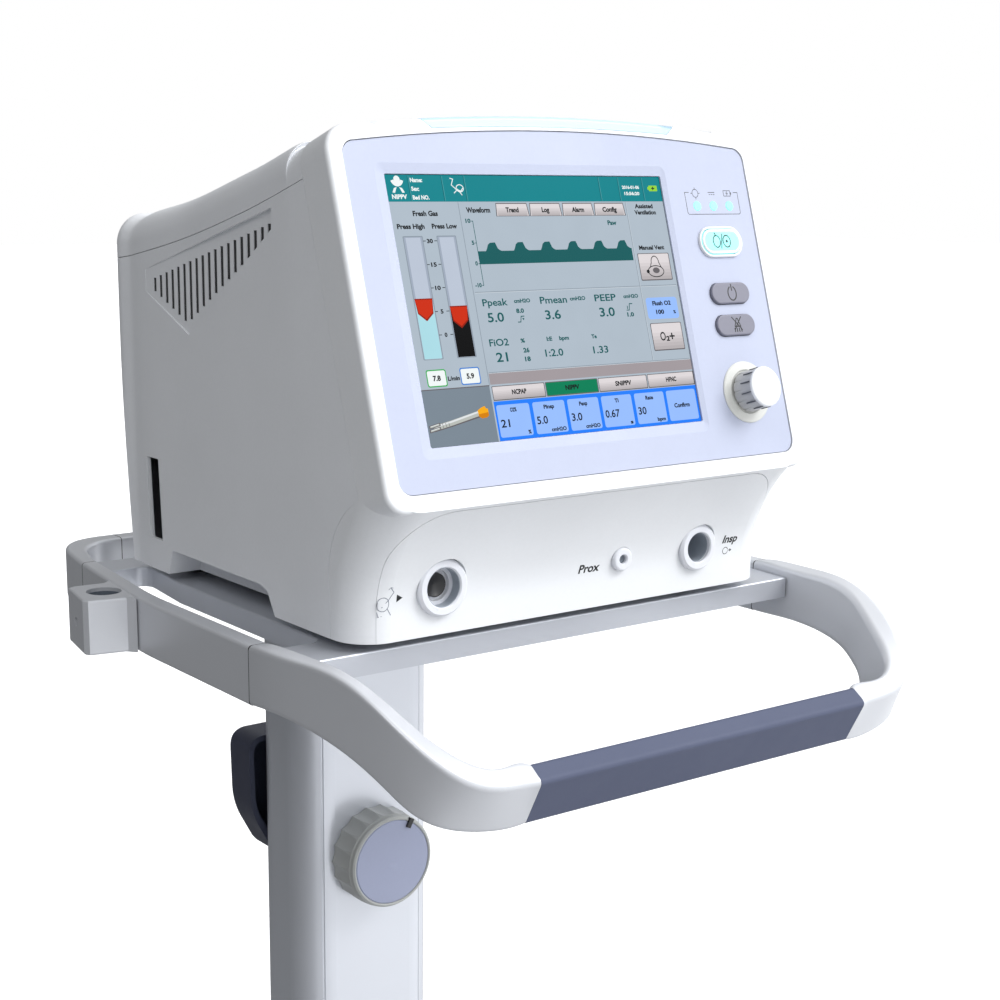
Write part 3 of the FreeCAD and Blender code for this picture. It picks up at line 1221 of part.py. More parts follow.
def make_casters():
    """Swivelling forks, wheels, tyres and, at the front, brake pedals."""
    fork = fork_shape()
    r, trail, wide = D["wheel_radius"], D["caster_trail"], D["wheel_width"]
    for tag, side, row in CASTERS:
        x, y = side * D["caster_x"], D[row]
        feature(f"caster_fork_{tag}", fork.copy(), Placement(Vector(x, y, 0), Rotation()))
        wheel = new_body(f"caster_wheel_{tag}", Placement(Vector(x, y + trail, r), Rotation(Y_AXIS, 90)))
        bore = "axle_radius + running_gap"
        half = "wheel_width / 2"
        revolve(wheel, [(bore, f"-({half})"), (14, f"-({half})"), (16, f"3 - {half}"),
                        ("wheel_radius - 15", f"4 - {half}"), ("wheel_radius - 12", f"1 - {half}"),
                        ("wheel_radius - 9", f"1 - {half}"), ("wheel_radius - 9", f"{half} - 1"),
                        ("wheel_radius - 12", f"{half} - 1"), ("wheel_radius - 15", f"{half} - 4"),
                        (16, f"{half} - 3"), (14, half), (bore, half)])
        tyre = new_body(f"caster_tyre_{tag}", Placement(Vector(x, y + trail, r), Rotation(Y_AXIS, 90)))
        revolve(tyre, [("wheel_radius - 9", f"1 - {half}"), ("wheel_radius - 5", f"-({half})"),
                       ("wheel_radius - 1.6", f"2 - {half}"), ("wheel_radius", f"6 - {half}"),
                       ("wheel_radius", f"{half} - 6"), ("wheel_radius - 1.6", f"{half} - 2"),
                       ("wheel_radius - 5", half), ("wheel_radius - 9", f"{half} - 1")])
    pivot_y, pivot_z = PEDAL_PIVOT
    for tag, side, row in CASTERS[:2]:
        lever = box(-20, 20, pivot_y + 28, pivot_y + 50, -2.5, 2.5)
        lever = rounded(lever, 2.0, lambda e: along(e, Z_AXIS) or along(e, X_AXIS))
        lever = lever.fuse(box(-12.5, 12.5, pivot_y, pivot_y + 30, -2.0, 2.0))
        lever = lever.fuse(Part.makeCylinder(4.4, 25.0, Vector(-12.5, pivot_y, 0), X_AXIS))
        lever = lever.cut(Part.makeCylinder(2.0 + D["running_gap"], 60.0, Vector(-30, pivot_y, 0), X_AXIS))
        place = Placement(Vector(side * D["caster_x"], D[row], pivot_z), Rotation())
        feature(f"brake_pedal_{tag}", solid_of(lever), place)


# ---------------------------------------------------------------- build, check and write
def check_all():
    """Stops on any failed object or bad sub-part."""
    doc.recompute()
    for obj in doc.Objects:
        if "Invalid" in obj.State or "Error" in obj.State:
            raise RuntimeError(f"{obj.Label}: {obj.State}")
    labels = [obj.Label for obj in SUBPARTS]
    if len(labels) != len(set(labels)):
        raise RuntimeError("two sub-parts share a name")
    for obj in SUBPARTS:
        if obj.Shape.isNull() or not obj.Shape.isValid():
            raise RuntimeError(f"{obj.Label}: bad shape")


def write_parts():
    os.makedirs("parts", exist_ok=True)
    total = FreeCAD.BoundBox()
    for obj in SUBPARTS:
        obj.Shape.exportStep(f"parts/{obj.Label}.step")
        total.add(obj.Shape.BoundBox)
        print(obj.Label, len(obj.Shape.Solids), round(obj.Shape.Volume))
    print(len(SUBPARTS), "sub-parts", total)


MAKERS = [
    make_front, make_bezel, make_lamps, make_light_bar, make_buttons, make_screen, make_encoder,
    make_ports, make_housing, make_top_cover, make_rear_panel, make_inlets, make_fan, make_inside,
    make_feet_and_screws, make_platform, make_rails, make_arms, make_grip, make_rear_ring, make_socket,
    make_column, make_column_knob, make_hook, make_base, make_casters,
]
for maker in MAKERS:
    maker()
check_all()
write_parts()
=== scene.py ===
"""Looks of the ventilator on its trolley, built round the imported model."""
import json
import math

import bmesh
import bpy
from mathutils import Matrix, Quaternion, Vector
from mathutils.bvhtree import BVHTree


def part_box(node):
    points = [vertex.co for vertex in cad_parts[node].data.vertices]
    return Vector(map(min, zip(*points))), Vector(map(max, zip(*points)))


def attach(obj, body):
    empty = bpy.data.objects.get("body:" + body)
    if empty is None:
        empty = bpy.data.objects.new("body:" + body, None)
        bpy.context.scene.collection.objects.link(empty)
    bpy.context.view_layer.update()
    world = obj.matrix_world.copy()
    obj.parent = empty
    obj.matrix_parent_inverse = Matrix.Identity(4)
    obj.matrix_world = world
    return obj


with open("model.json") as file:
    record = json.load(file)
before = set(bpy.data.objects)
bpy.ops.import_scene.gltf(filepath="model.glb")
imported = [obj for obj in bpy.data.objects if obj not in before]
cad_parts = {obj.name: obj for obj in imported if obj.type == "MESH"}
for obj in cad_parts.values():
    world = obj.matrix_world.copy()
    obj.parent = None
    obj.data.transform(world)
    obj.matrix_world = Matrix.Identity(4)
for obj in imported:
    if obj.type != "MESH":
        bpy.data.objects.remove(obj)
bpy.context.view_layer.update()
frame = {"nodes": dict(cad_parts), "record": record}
NODES = frame["nodes"]
TILT = math.radians(17.36)                 # lean of the control panel
SCREEN = Vector((0.0, -0.150, 1.076))      # the panel's reference point
MM = 0.001


# ---------------- camera
def make_camera():
    """Camera in front of the left corner, a little over the control panel."""
    data = bpy.data.cameras.new("camera")
    data.lens, data.sensor_width = 62.65, 36.0
    data.shift_x, data.shift_y = 0.0531, 0.0709
    data.clip_start, data.clip_end = 0.05, 60.0
    cam = bpy.data.objects.new("camera", data)
    bpy.context.scene.collection.objects.link(cam)
    cam.location = (-0.69493, -0.96724, 1.14576)
    forward = Vector((0.57284, 0.79048, -0.21678))
    cam.rotation_mode = "QUATERNION"
    cam.rotation_quaternion = forward.to_track_quat("-Z", "Y") @ Quaternion((0, 0, 1), math.radians(0.33))
    bpy.context.scene.camera = cam


make_camera()


# ---------------- materials
class Nodes:
    """Short way to write a material's node tree."""

    def __init__(self, name):
        self.mat = bpy.data.materials.new(name)
        self.mat.use_nodes = True
        self.tree = self.mat.node_tree
        self.tree.nodes.clear()
        self.out = self.add("ShaderNodeOutputMaterial")

    def add(self, kind, **values):
        node = self.tree.nodes.new(kind)
        for key, value in values.items():
            setattr(node, key, value)
        return node

    def link(self, a, b):
        self.tree.links.new(a, b)

    def coords(self):
        return self.add("ShaderNodeTexCoord").outputs["Object"]

    def noise(self, scale, detail=4.0, rough=0.5, vector=None):
        node = self.add("ShaderNodeTexNoise")
        node.inputs["Scale"].default_value = scale
        node.inputs["Detail"].default_value = detail
        node.inputs["Roughness"].default_value = rough
        self.link(vector or self.coords(), node.inputs["Vector"])
        return node.outputs["Fac"]

    def ramp(self, fac, stops):
        node = self.add("ShaderNodeValToRGB")
        while len(node.color_ramp.elements) < len(stops):
            node.color_ramp.elements.new(0.5)
        for element, (place, colour) in zip(node.color_ramp.elements, stops):
            element.position = place
            element.color = (*colour, 1.0) if len(colour) == 3 else colour
        self.link(fac, node.inputs["Fac"])
        return node.outputs["Color"]

    def range(self, value, low, high, to_low, to_high):
        node = self.add("ShaderNodeMapRange")
        self.link(value, node.inputs["Value"])
        for key, number in (("From Min", low), ("From Max", high), ("To Min", to_low), ("To Max", to_high)):
            node.inputs[key].default_value = number
        return node.outputs["Result"]

    def bump(self, height, strength, distance, normal=None):
        node = self.add("ShaderNodeBump")
        node.inputs["Strength"].default_value = strength
        node.inputs["Distance"].default_value = distance
        self.link(height, node.inputs["Height"])
        if normal is not None:
            self.link(normal, node.inputs["Normal"])
        return node.outputs["Normal"]

    def principled(self, colour=None, rough=None, normal=None, **sockets):
        node = self.add("ShaderNodeBsdfPrincipled")
        for value, socket in ((colour, "Base Color"), (rough, "Roughness"), (normal, "Normal")):
            if value is None:
                continue
            if isinstance(value, (tuple, float)):
                node.inputs[socket].default_value = (*value, 1.0) if isinstance(value, tuple) else value
            else:
                self.link(value, node.inputs[socket])
        for key, value in sockets.items():
            node.inputs[key.replace("_", " ")].default_value = value
        self.link(node.outputs["BSDF"], self.out.inputs["Surface"])
        return node


def shade(colour, k):
    """Colour made lighter or darker by a factor."""
    return tuple(min(1.0, c * k) for c in colour)


def srgb(r, g, b):
    """Linear colour of an 8-bit screen colour."""
    def lin(c):
        c /= 255.0
        return c / 12.92 if c <= 0.04045 else ((c + 0.055) / 1.055) ** 2.4
    return (lin(r), lin(g), lin(b))


def plastic(name, colour, rough=0.42, grain=2600.0, depth=0.00002, coat=0.0, spread=0.03, **more):
    """Moulded plastic: fine spark-eroded grain, faint clouding of colour and gloss."""
    n = Nodes(name)
    cloud = n.noise(9.0, 5.0, 0.55)
    fine = n.noise(420.0, 3.0, 0.6)
    tint = n.ramp(cloud, [(0.25, shade(colour, 1 - spread)), (0.75, shade(colour, 1 + spread))])
    mix = n.add("ShaderNodeMix", data_type="RGBA", blend_type="MULTIPLY")
    mix.inputs["Factor"].default_value = 0.06
    n.link(tint, mix.inputs["A"])
    n.link(n.ramp(fine, [(0.3, (0.7, 0.7, 0.7)), (0.7, (1.0, 1.0, 1.0))]), mix.inputs["B"])
    gloss = n.range(n.noise(38.0, 6.0, 0.6), 0.3, 0.7, rough - 0.05, rough + 0.06)
    grainy = n.noise(grain, 2.0, 0.5)
    normal = n.bump(grainy, 0.35, depth)
    n.principled(mix.outputs["Result"], gloss, normal, Coat_Weight=coat, Coat_Roughness=0.12, **more)
    return n.mat


def paint(name, colour, rough=0.34, peel=0.00003, metallic=0.0, **more):
    """Powder coat: low orange peel over a slightly clouded colour."""
    n = Nodes(name)
    cloud = n.noise(6.0, 4.0, 0.5)
    tint = n.ramp(cloud, [(0.3, shade(colour, 0.985)), (0.7, shade(colour, 1.01))])
    gloss = n.range(n.noise(24.0, 5.0, 0.6), 0.3, 0.7, rough - 0.02, rough + 0.03)
    low = n.noise(520.0, 2.0, 0.4)
    fine = n.noise(2100.0, 2.0, 0.5)
    normal = n.bump(fine, 0.08, peel * 0.3, n.bump(low, 0.12, peel * 0.5))
    n.principled(tint, gloss, normal, Metallic=metallic, **more)
    return n.mat


def rubber(name, colour, rough=0.75):
    """Matt rubber with a rough skin."""
    n = Nodes(name)
    cloud = n.noise(30.0, 5.0, 0.6)
    tint = n.ramp(cloud, [(0.3, shade(colour, 0.8)), (0.7, shade(colour, 1.25))])
    gloss = n.range(n.noise(90.0, 4.0, 0.6), 0.3, 0.7, rough - 0.1, rough + 0.1)
    n.principled(tint, gloss, n.bump(n.noise(900.0, 3.0, 0.6), 0.4, 0.00006))
    return n.mat


def metal(name, colour, rough=0.28, along=(1.0, 1.0, 40.0), depth=0.00002):
    """Brushed or turned metal: scratches stretched along one direction."""
    n = Nodes(name)
    mapping = n.add("ShaderNodeMapping")
    mapping.inputs["Scale"].default_value = along
    n.link(n.coords(), mapping.inputs["Vector"])
    lines = n.noise(160.0, 4.0, 0.65, mapping.outputs["Vector"])
    cloud = n.noise(14.0, 4.0, 0.5)
    tint = n.ramp(cloud, [(0.3, shade(colour, 0.92)), (0.7, shade(colour, 1.05))])
    gloss = n.range(lines, 0.3, 0.7, rough - 0.08, rough + 0.12)
    n.principled(tint, gloss, n.bump(lines, 0.2, depth), Metallic=1.0)
    return n.mat


# ---------------- stage and light
def make_floor():
    """Pale floor; the light that it sends back grows from the left and rear to the front and right."""
    n = Nodes("floor_pale")
    tint = n.ramp(n.noise(1.5, 3.0, 0.5), [(0.3, (0.93, 0.93, 0.93)), (0.7, (0.95, 0.95, 0.95))])
    near = n.add("ShaderNodeBsdfPrincipled")
    n.link(tint, near.inputs["Base Color"])
    n.link(tint, near.inputs["Emission Color"])
    near.inputs["Roughness"].default_value = 0.9
    near.inputs["Emission Strength"].default_value = 0.22
    far = n.add("ShaderNodeBsdfDiffuse")
    across = n.add("ShaderNodeVectorMath", operation="DOT_PRODUCT")
    across.inputs[1].default_value = (0.74, -0.67, 0.0)
    n.link(n.coords(), across.inputs[0])
    span = n.range(across.outputs["Value"], -1.1, 1.1, 0.0, 1.0)
    n.link(n.ramp(span, [(0.0, (0.12, 0.122, 0.125)), (0.42, (0.26, 0.263, 0.27)), (1.0, (0.86, 0.865, 0.875))]),
           far.inputs["Color"])
    mix, path = n.add("ShaderNodeMixShader"), n.add("ShaderNodeLightPath")
    n.link(path.outputs["Is Camera Ray"], mix.inputs["Fac"])
    n.link(far.outputs["BSDF"], mix.inputs[1])
    n.link(near.outputs["BSDF"], mix.inputs[2])
    n.link(mix.outputs["Shader"], n.out.inputs["Surface"])
    mesh = bpy.data.meshes.new("floor")
    s, z = 30.0, -0.0005
    mesh.from_pydata([(-s, -s, z), (s, -s, z), (s, s, z), (-s, s, z)], [], [(0, 1, 2, 3)])
    mesh.materials.append(n.mat)
    floor = bpy.data.objects.new("floor", mesh)
    bpy.context.scene.collection.objects.link(floor)


WORLD_WAY = Vector((0.72, -0.66, 0.22)).normalized()     # towards the bright side of the studio
WORLD_STOPS = ((0.0, 0.13), (0.3, 0.26), (0.5, 0.48), (0.75, 1.06), (1.0, 1.55))


def make_world():
    """White backdrop; the light that it sends grows from the left and rear to the front and right."""
    world = bpy.data.worlds.new("studio")
    world.use_nodes = True
    tree = world.node_tree
    tree.nodes.clear()
    add, link = tree.nodes.new, tree.links.new
    out, seen, glow_node = add("ShaderNodeOutputWorld"), add("ShaderNodeBackground"), add("ShaderNodeBackground")
    seen.inputs["Color"].default_value = (1, 1, 1, 1)
    dot = add("ShaderNodeVectorMath")
    dot.operation = "DOT_PRODUCT"
    dot.inputs[1].default_value = WORLD_WAY
    link(add("ShaderNodeTexCoord").outputs["Generated"], dot.inputs[0])
    ramp = add("ShaderNodeValToRGB")
    span = add("ShaderNodeMapRange")
    span.inputs["From Min"].default_value = -1.0
    link(dot.outputs["Value"], span.inputs["Value"])
    link(span.outputs["Result"], ramp.inputs["Fac"])
    while len(ramp.color_ramp.elements) < len(WORLD_STOPS):
        ramp.color_ramp.elements.new(0.5)
    for element, (place, value) in zip(ramp.color_ramp.elements, WORLD_STOPS):
        element.position = place
        element.color = (value * 0.97, value * 0.985, value, 1.0)
    link(ramp.outputs["Color"], glow_node.inputs["Color"])
    mix, path = add("ShaderNodeMixShader"), add("ShaderNodeLightPath")
    link(path.outputs["Is Camera Ray"], mix.inputs["Fac"])
    link(glow_node.outputs["Background"], mix.inputs[1])
    link(seen.outputs["Background"], mix.inputs[2])
    link(mix.outputs["Shader"], out.inputs["Surface"])
    bpy.context.scene.world = world


def make_sun(name, energy, spread, way):
    """Soft distant lamp that shines along a direction."""
    data = bpy.data.lights.new(name, "SUN")
    data.energy, data.angle = energy, math.radians(spread)
    lamp = bpy.data.objects.new(name, data)
    bpy.context.scene.collection.objects.link(lamp)
    lamp.rotation_mode = "QUATERNION"
    lamp.rotation_quaternion = Vector(way).to_track_quat("-Z", "Y")


make_floor()
make_world()
make_sun("sun", 2.2, 34, (-0.52, 0.52, -0.68))
make_sun("fill", 0.5, 30, (0.66, 0.25, -0.70))
view = bpy.context.scene.view_settings
view.view_transform, view.look = "Standard", "None"


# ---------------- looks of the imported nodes
WHITE = plastic("shell_white", (0.80, 0.815, 0.84), 0.36)
LIGHT = plastic("shell_light", (0.80, 0.815, 0.845), 0.45)
BEZEL = plastic("bezel_lavender", srgb(180, 186, 206), 0.5, Specular_IOR_Level=0.25)
PORT = plastic("port_white", srgb(226, 228, 234), 0.32)
KEY = plastic("key_grey", srgb(118, 118, 132), 0.4)
BLACK = plastic("black_moulding", (0.02, 0.02, 0.022), 0.4)
SLATE = plastic("slate_grip", srgb(84, 90, 112), 0.58, Specular_IOR_Level=0.2)
HOOK = plastic("slate_hook", srgb(58, 62, 80), 0.45)
DISC = plastic("knob_disc", srgb(150, 156, 180), 0.4)
RING = plastic("knob_ring", srgb(168, 170, 168), 0.4)
COLLAR = plastic("collar_grey", srgb(205, 206, 202), 0.38)
KNOB = plastic("knob_grey", srgb(186, 186, 186), 0.35)
FORK = plastic("fork_grey", srgb(80, 84, 92), 0.5)
WHEEL = plastic("wheel_grey", srgb(190, 192, 198), 0.45)
PEDAL = plastic("pedal_red", srgb(186, 46, 40), 0.42)
BLUE = plastic("battery_wrap", srgb(50, 64, 110), 0.5)
BOARD = plastic("board_green", srgb(20, 92, 52), 0.4)
PLATFORM = paint("platform_grey", srgb(200, 203, 210), 0.36, peel=0.000006, metallic=0.55)
ARM = paint("arm_white", srgb(210, 212, 217), 0.32, peel=0.000006, metallic=0.35)
COLUMN = paint("column_coat", srgb(216, 219, 226), 0.3, peel=0.000004, metallic=0.6)
# the two greys below are painted shade, used only for linings and discs deep inside the bores
BORE_SHADE = plastic("bore_painted_shade", srgb(104, 112, 122), 0.4)
PORT_INNER_SHADE = plastic("port_inner_shade", srgb(158, 166, 176), 0.4)
BASE = paint("base_coat", srgb(212, 214, 220), 0.34)
PANEL = metal("panel_metal", (0.60, 0.61, 0.63), 0.34, (40.0, 1.0, 1.0))
STEEL = metal("turned_steel", (0.62, 0.62, 0.63), 0.25)
PLATED = metal("plated_sheet", (0.55, 0.56, 0.58), 0.4)
TYRE = rubber("tyre_rubber", srgb(60, 62, 66))
FOOT = rubber("foot_rubber", srgb(34, 34, 36))


def glass():
    """Dark front glass of the screen."""
    n = Nodes("screen_glass")
    tint = n.ramp(n.noise(8.0, 3.0, 0.5), [(0.3, (0.008, 0.009, 0.011)), (0.7, (0.012, 0.013, 0.015))])
    n.principled(tint, n.range(n.noise(60.0, 4.0, 0.6), 0.3, 0.7, 0.05, 0.09), Specular_IOR_Level=0.5)
    return n.mat


def glow(name, colour, strength, rough=0.3):
    """Lit translucent moulding, a little brighter in its middle clouds."""
    n = Nodes(name)
    cloud = n.noise(30.0, 3.0, 0.5)
    tint = n.ramp(cloud, [(0.3, shade(colour, 0.92)), (0.7, colour)])
    node = n.principled(tint, n.range(cloud, 0.3, 0.7, rough - 0.05, rough + 0.05))
    n.link(tint, node.inputs["Emission Color"])
    node.inputs["Emission Strength"].default_value = strength
    return n.mat


GLASS = glass()
LENS = glow("lamp_cyan", srgb(120, 250, 250), 0.9)
BAR = glow("alarm_lens", srgb(176, 206, 226), 0.12)
START = glow("start_cyan", srgb(140, 245, 240), 0.55)

LOOK = {
    "front_frame": WHITE, "port_fascia": WHITE, "bezel_panel": BEZEL, "status_lamps": LENS,
    "alarm_light_bar": BAR, "start_button": START, "power_button": KEY, "mute_button": KEY,
    "touch_screen": GLASS, "display_module": BLACK, "encoder_collar": COLLAR, "encoder_shaft": STEEL,
    "encoder_knob": KNOB, "patient_port": PORT, "prox_port": PORT, "insp_port": PORT,
    "housing_shell": LIGHT, "top_cover": LIGHT, "rear_panel": PANEL, "gas_inlets": STEEL,
    "power_inlet": BLACK, "fan_frame": BLACK, "fan_rotor": BLACK, "chassis_tray": PLATED,
    "power_supply": PLATED, "battery_pack": BLUE, "main_board": BOARD, "gas_blender": PANEL,
    "flow_sensor": PORT, "unit_feet": FOOT, "case_screws": STEEL, "platform": PLATFORM,
    "left_rail": ARM, "right_rail": ARM, "left_arm": ARM, "right_arm": ARM, "grip": SLATE,
    "rear_left_corner": ARM, "rear_right_corner": ARM, "rear_bar": ARM, "accessory_socket": ARM,
    "column": COLUMN, "column_knob": RING, "knob_disc": DISC, "hose_hook": HOOK, "base_frame": BASE,
}
for tag in ("fl", "fr", "rl", "rr"):
    LOOK["caster_fork_" + tag] = FORK
    LOOK["caster_wheel_" + tag] = WHEEL
    LOOK["caster_tyre_" + tag] = TYRE
LOOK["brake_pedal_fl"] = LOOK["brake_pedal_fr"] = PEDAL


def dress(obj, material):
    """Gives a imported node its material."""
    obj.data.materials.clear()
    obj.data.materials.append(material)


for name, node in NODES.items():
    dress(node, LOOK[name])


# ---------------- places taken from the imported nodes
RIGHT = Vector((1, 0, 0))
UP = Vector((0, math.sin(TILT), math.cos(TILT)))
OUT = Vector((0, -math.cos(TILT), math.sin(TILT)))


def panel(u, v, w):
    """Point on the control panel, in millimetres about its reference point."""
    return SCREEN + (RIGHT * u + UP * v + OUT * w) * MM


def extent(name):
    """Low and high corner of a node in the panel's own u, v, w, in millimetres."""
    spots = [vert.co - SCREEN for vert in NODES[name].data.vertices]
    low, high = [], []
    for axis in (RIGHT, UP, OUT):
        values = [spot.dot(axis) / MM for spot in spots]
        low.append(min(values))
        high.append(max(values))
    return low, high


def tree_of(name):
    """Search tree of a node's faces, for laying marks on its surface."""
    mesh = NODES[name].data
    return BVHTree.FromPolygons([v.co for v in mesh.vertices], [tuple(p.vertices) for p in mesh.polygons])


def piece(name, verts, faces, material, body, smooth=False):
    """One mesh of the looks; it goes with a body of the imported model."""
    mesh = bpy.data.meshes.new(name)
    mesh.from_pydata([tuple(v) for v in verts], [], faces)
    mesh.materials.append(material)
    if smooth:
        mesh.shade_smooth()
    obj = bpy.data.objects.new(name, mesh)
    bpy.context.scene.collection.objects.link(obj)
    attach(obj, body)
    return obj


# ---------------- flat drawing
def glyphs(string, weight=0.016, cache={}):
    """Corners and faces of a string in the built-in face, with a capital one unit tall."""
    key = (string, weight)
    if key in cache:
        return cache[key]
    data = bpy.data.curves.new("letters", "FONT")
    data.body, data.size, data.resolution_u, data.offset = string, 1.0, 3, weight
    obj = bpy.data.objects.new("letters", data)
    bpy.context.scene.collection.objects.link(obj)
    bpy.context.view_layer.update()
    mesh = bpy.data.meshes.new_from_object(obj.evaluated_get(bpy.context.evaluated_depsgraph_get()))
    verts = [(v.co.x, v.co.y) for v in mesh.vertices]
    faces = [tuple(p.vertices) for p in mesh.polygons]
    bpy.data.objects.remove(obj)
    bpy.data.curves.remove(data)
    bpy.data.meshes.remove(mesh)
    if string == "H":
        cache[key] = max(y for _, y in verts)
        return cache[key]
    tall = glyphs("H", weight)
    left = min(x for x, _ in verts)
    wide = max(x for x, _ in verts) - left
    cache[key] = ([((x - left) / wide, y / tall) for x, y in verts], faces)
    return cache[key]


def slot_outline(cx, cy, half_x, half_y, radius, count=8):
    """Rounded rectangle about a centre, as a list of corners."""
    points = []
    for i, (sx, sy) in enumerate(((1, 1), (-1, 1), (-1, -1), (1, -1))):
        for k in range(count + 1):
            a = math.pi / 2 * (i + k / count)
            points.append((cx + sx * (half_x - radius) + radius * math.cos(a),
                           cy + sy * (half_y - radius) + radius * math.sin(a)))
    return points


def stroke(tall):
    """Added weight of lettering: medium for marks on mouldings, bold for small letters on the screen."""
    if tall < 8:
        return 0.03
    return 0.042 if tall < 26 else 0.018


class Sheet:
    """Flat drawing on a surface: faces are gathered by ink, and each ink becomes one mesh."""

    def __init__(self, name, place, body="frame"):
        self.name, self.place, self.body, self.inks = name, place, body, {}

    def face(self, ink, points, lift=1.0):
        verts, faces = self.inks.setdefault(ink, ([], []))
        start = len(verts)
        verts.extend((x, y, lift) for x, y in points)
        faces.append(tuple(range(start, start + len(points))))

    def rect(self, ink, x0, y0, x1, y1, lift=1.0, radius=0.0):
        if radius:
            outline = slot_outline((x0 + x1) / 2, (y0 + y1) / 2, abs(x1 - x0) / 2, abs(y1 - y0) / 2, radius, 5)
            self.face(ink, outline, lift)
            return
        self.face(ink, [(x0, y0), (x1, y0), (x1, y1), (x0, y1)], lift)

    def line(self, ink, points, width, lift=1.0):
        """Thick line through points."""
        for (ax, ay), (bx, by) in zip(points, points[1:]):
            long = math.hypot(bx - ax, by - ay)
            tx, ty = (bx - ax) / long * width / 2, (by - ay) / long * width / 2
            ax, ay, bx, by = ax - tx * 0.6, ay - ty * 0.6, bx + tx * 0.6, by + ty * 0.6
            self.face(ink, [(ax - ty, ay + tx), (bx - ty, by + tx), (bx + ty, by - tx), (ax + ty, ay - tx)], lift)

    def arc(self, ink, cx, cy, rx, ry, width, start=0.0, end=360.0, lift=1.0, count=28):
        angles = [math.radians(start + (end - start) * i / count) for i in range(count + 1)]
        inner = [(cx + (rx - width / 2) * math.cos(a), cy + (ry - width / 2) * math.sin(a)) for a in angles]
        outer = [(cx + (rx + width / 2) * math.cos(a), cy + (ry + width / 2) * math.sin(a)) for a in angles]
        for i in range(count):
            self.face(ink, [inner[i], inner[i + 1], outer[i + 1], outer[i]], lift)

    def disc(self, ink, cx, cy, rx, ry, lift=1.0, count=28):
        self.face(ink, [(cx + rx * math.cos(i * math.tau / count), cy + ry * math.sin(i * math.tau / count))
                        for i in range(count)], lift)

    def text(self, ink, string, x0, x1, y, tall, lift=1.0, up=-1.0, slant=0.0):
        """String between x0 and x1, its capitals centred on y; up is -1 where y runs down."""
        corners, polygons = glyphs(string, stroke(tall))
        verts, faces = self.inks.setdefault(ink, ([], []))
        start = len(verts)
        for x, h in corners:
            rise = (h - 0.5) * tall
            verts.append((x0 + x * (x1 - x0) + slant * rise, y + up * rise, lift))
        faces.extend(tuple(start + i for i in polygon) for polygon in polygons)

    def build(self):
        for ink, (verts, faces) in self.inks.items():
            spots = [self.place(x, y, lift) for x, y, lift in verts]
            piece(f"{self.name}_{ink}", spots, faces, INKS[ink], self.body)


def lit(name, colour, strength=1.0):
    """Lit pixels under the front glass: even light with a very faint unevenness."""
    n = Nodes("lit_" + name)
    tint = n.ramp(n.noise(60.0, 2.0, 0.4), [(0.3, shade(colour, 0.975)), (0.7, colour)])
    node = n.principled(shade(colour, 0.02), 0.3, Specular_IOR_Level=0.03)
    n.link(tint, node.inputs["Emission Color"])
    node.inputs["Emission Strength"].default_value = strength
    return n.mat


def printed(name, colour, rough=0.4):
    """Printing ink on a moulding."""
    n = Nodes("print_" + name)
    tint = n.ramp(n.noise(900.0, 2.0, 0.5), [(0.3, shade(colour, 0.85)), (0.7, shade(colour, 1.1))])
    n.principled(tint, n.range(n.noise(200.0, 3.0, 0.5), 0.3, 0.7, rough - 0.05, rough + 0.05))
    return n.mat


INK_COLOURS = {
    "teal": (6, 132, 141), "seam": (74, 158, 163), "seam_dark": (3, 92, 100), "grey": (175, 188, 200),
    "groove": (140, 152, 164), "ridge": (205, 214, 222), "taupe": (162, 154, 158), "tab": (222, 216, 218),
    "shadow": (104, 100, 104), "ink": (22, 26, 30), "sea": (18, 92, 94),
    "white": (240, 246, 246), "ice": (172, 220, 230), "black": (6, 6, 8), "red": (206, 46, 12),
    "red_dark": (150, 30, 8), "leaf": (66, 176, 92), "leaf_dark": (4, 128, 88), "sky": (152, 190, 255),
    "azure": (38, 128, 255), "slate": (124, 137, 149), "lime": (150, 214, 60), "amber": (250, 174, 22),
    "amber_low": (214, 130, 10), "cream": (226, 230, 232), "rim": (70, 130, 210), "steel": (186, 190, 184),
    "tube_side": (160, 171, 188), "tube_face": (187, 197, 213),
}
INK_COLOURS |= {f"tab_{i}": (222 - 8 * i, 216 - 8 * i, 218 - 8 * i) for i in range(1, 6)}
INKS = {name: lit(name, srgb(*colour)) for name, colour in INK_COLOURS.items()}
INKS["mark"] = printed("mark", srgb(22, 23, 26))
INKS["soft_mark"] = printed("soft_mark", srgb(120, 126, 140))
INKS["deep"] = printed("deep", srgb(8, 34, 36))


# ---------------- the lit screen
DRAWN = (78, 57, 1555, 1168)                 # left, top, right and bottom of the drawing, in its own units
GAUGE = ((122, 214, 565, "ice"), (288, 380, 600, "black"))


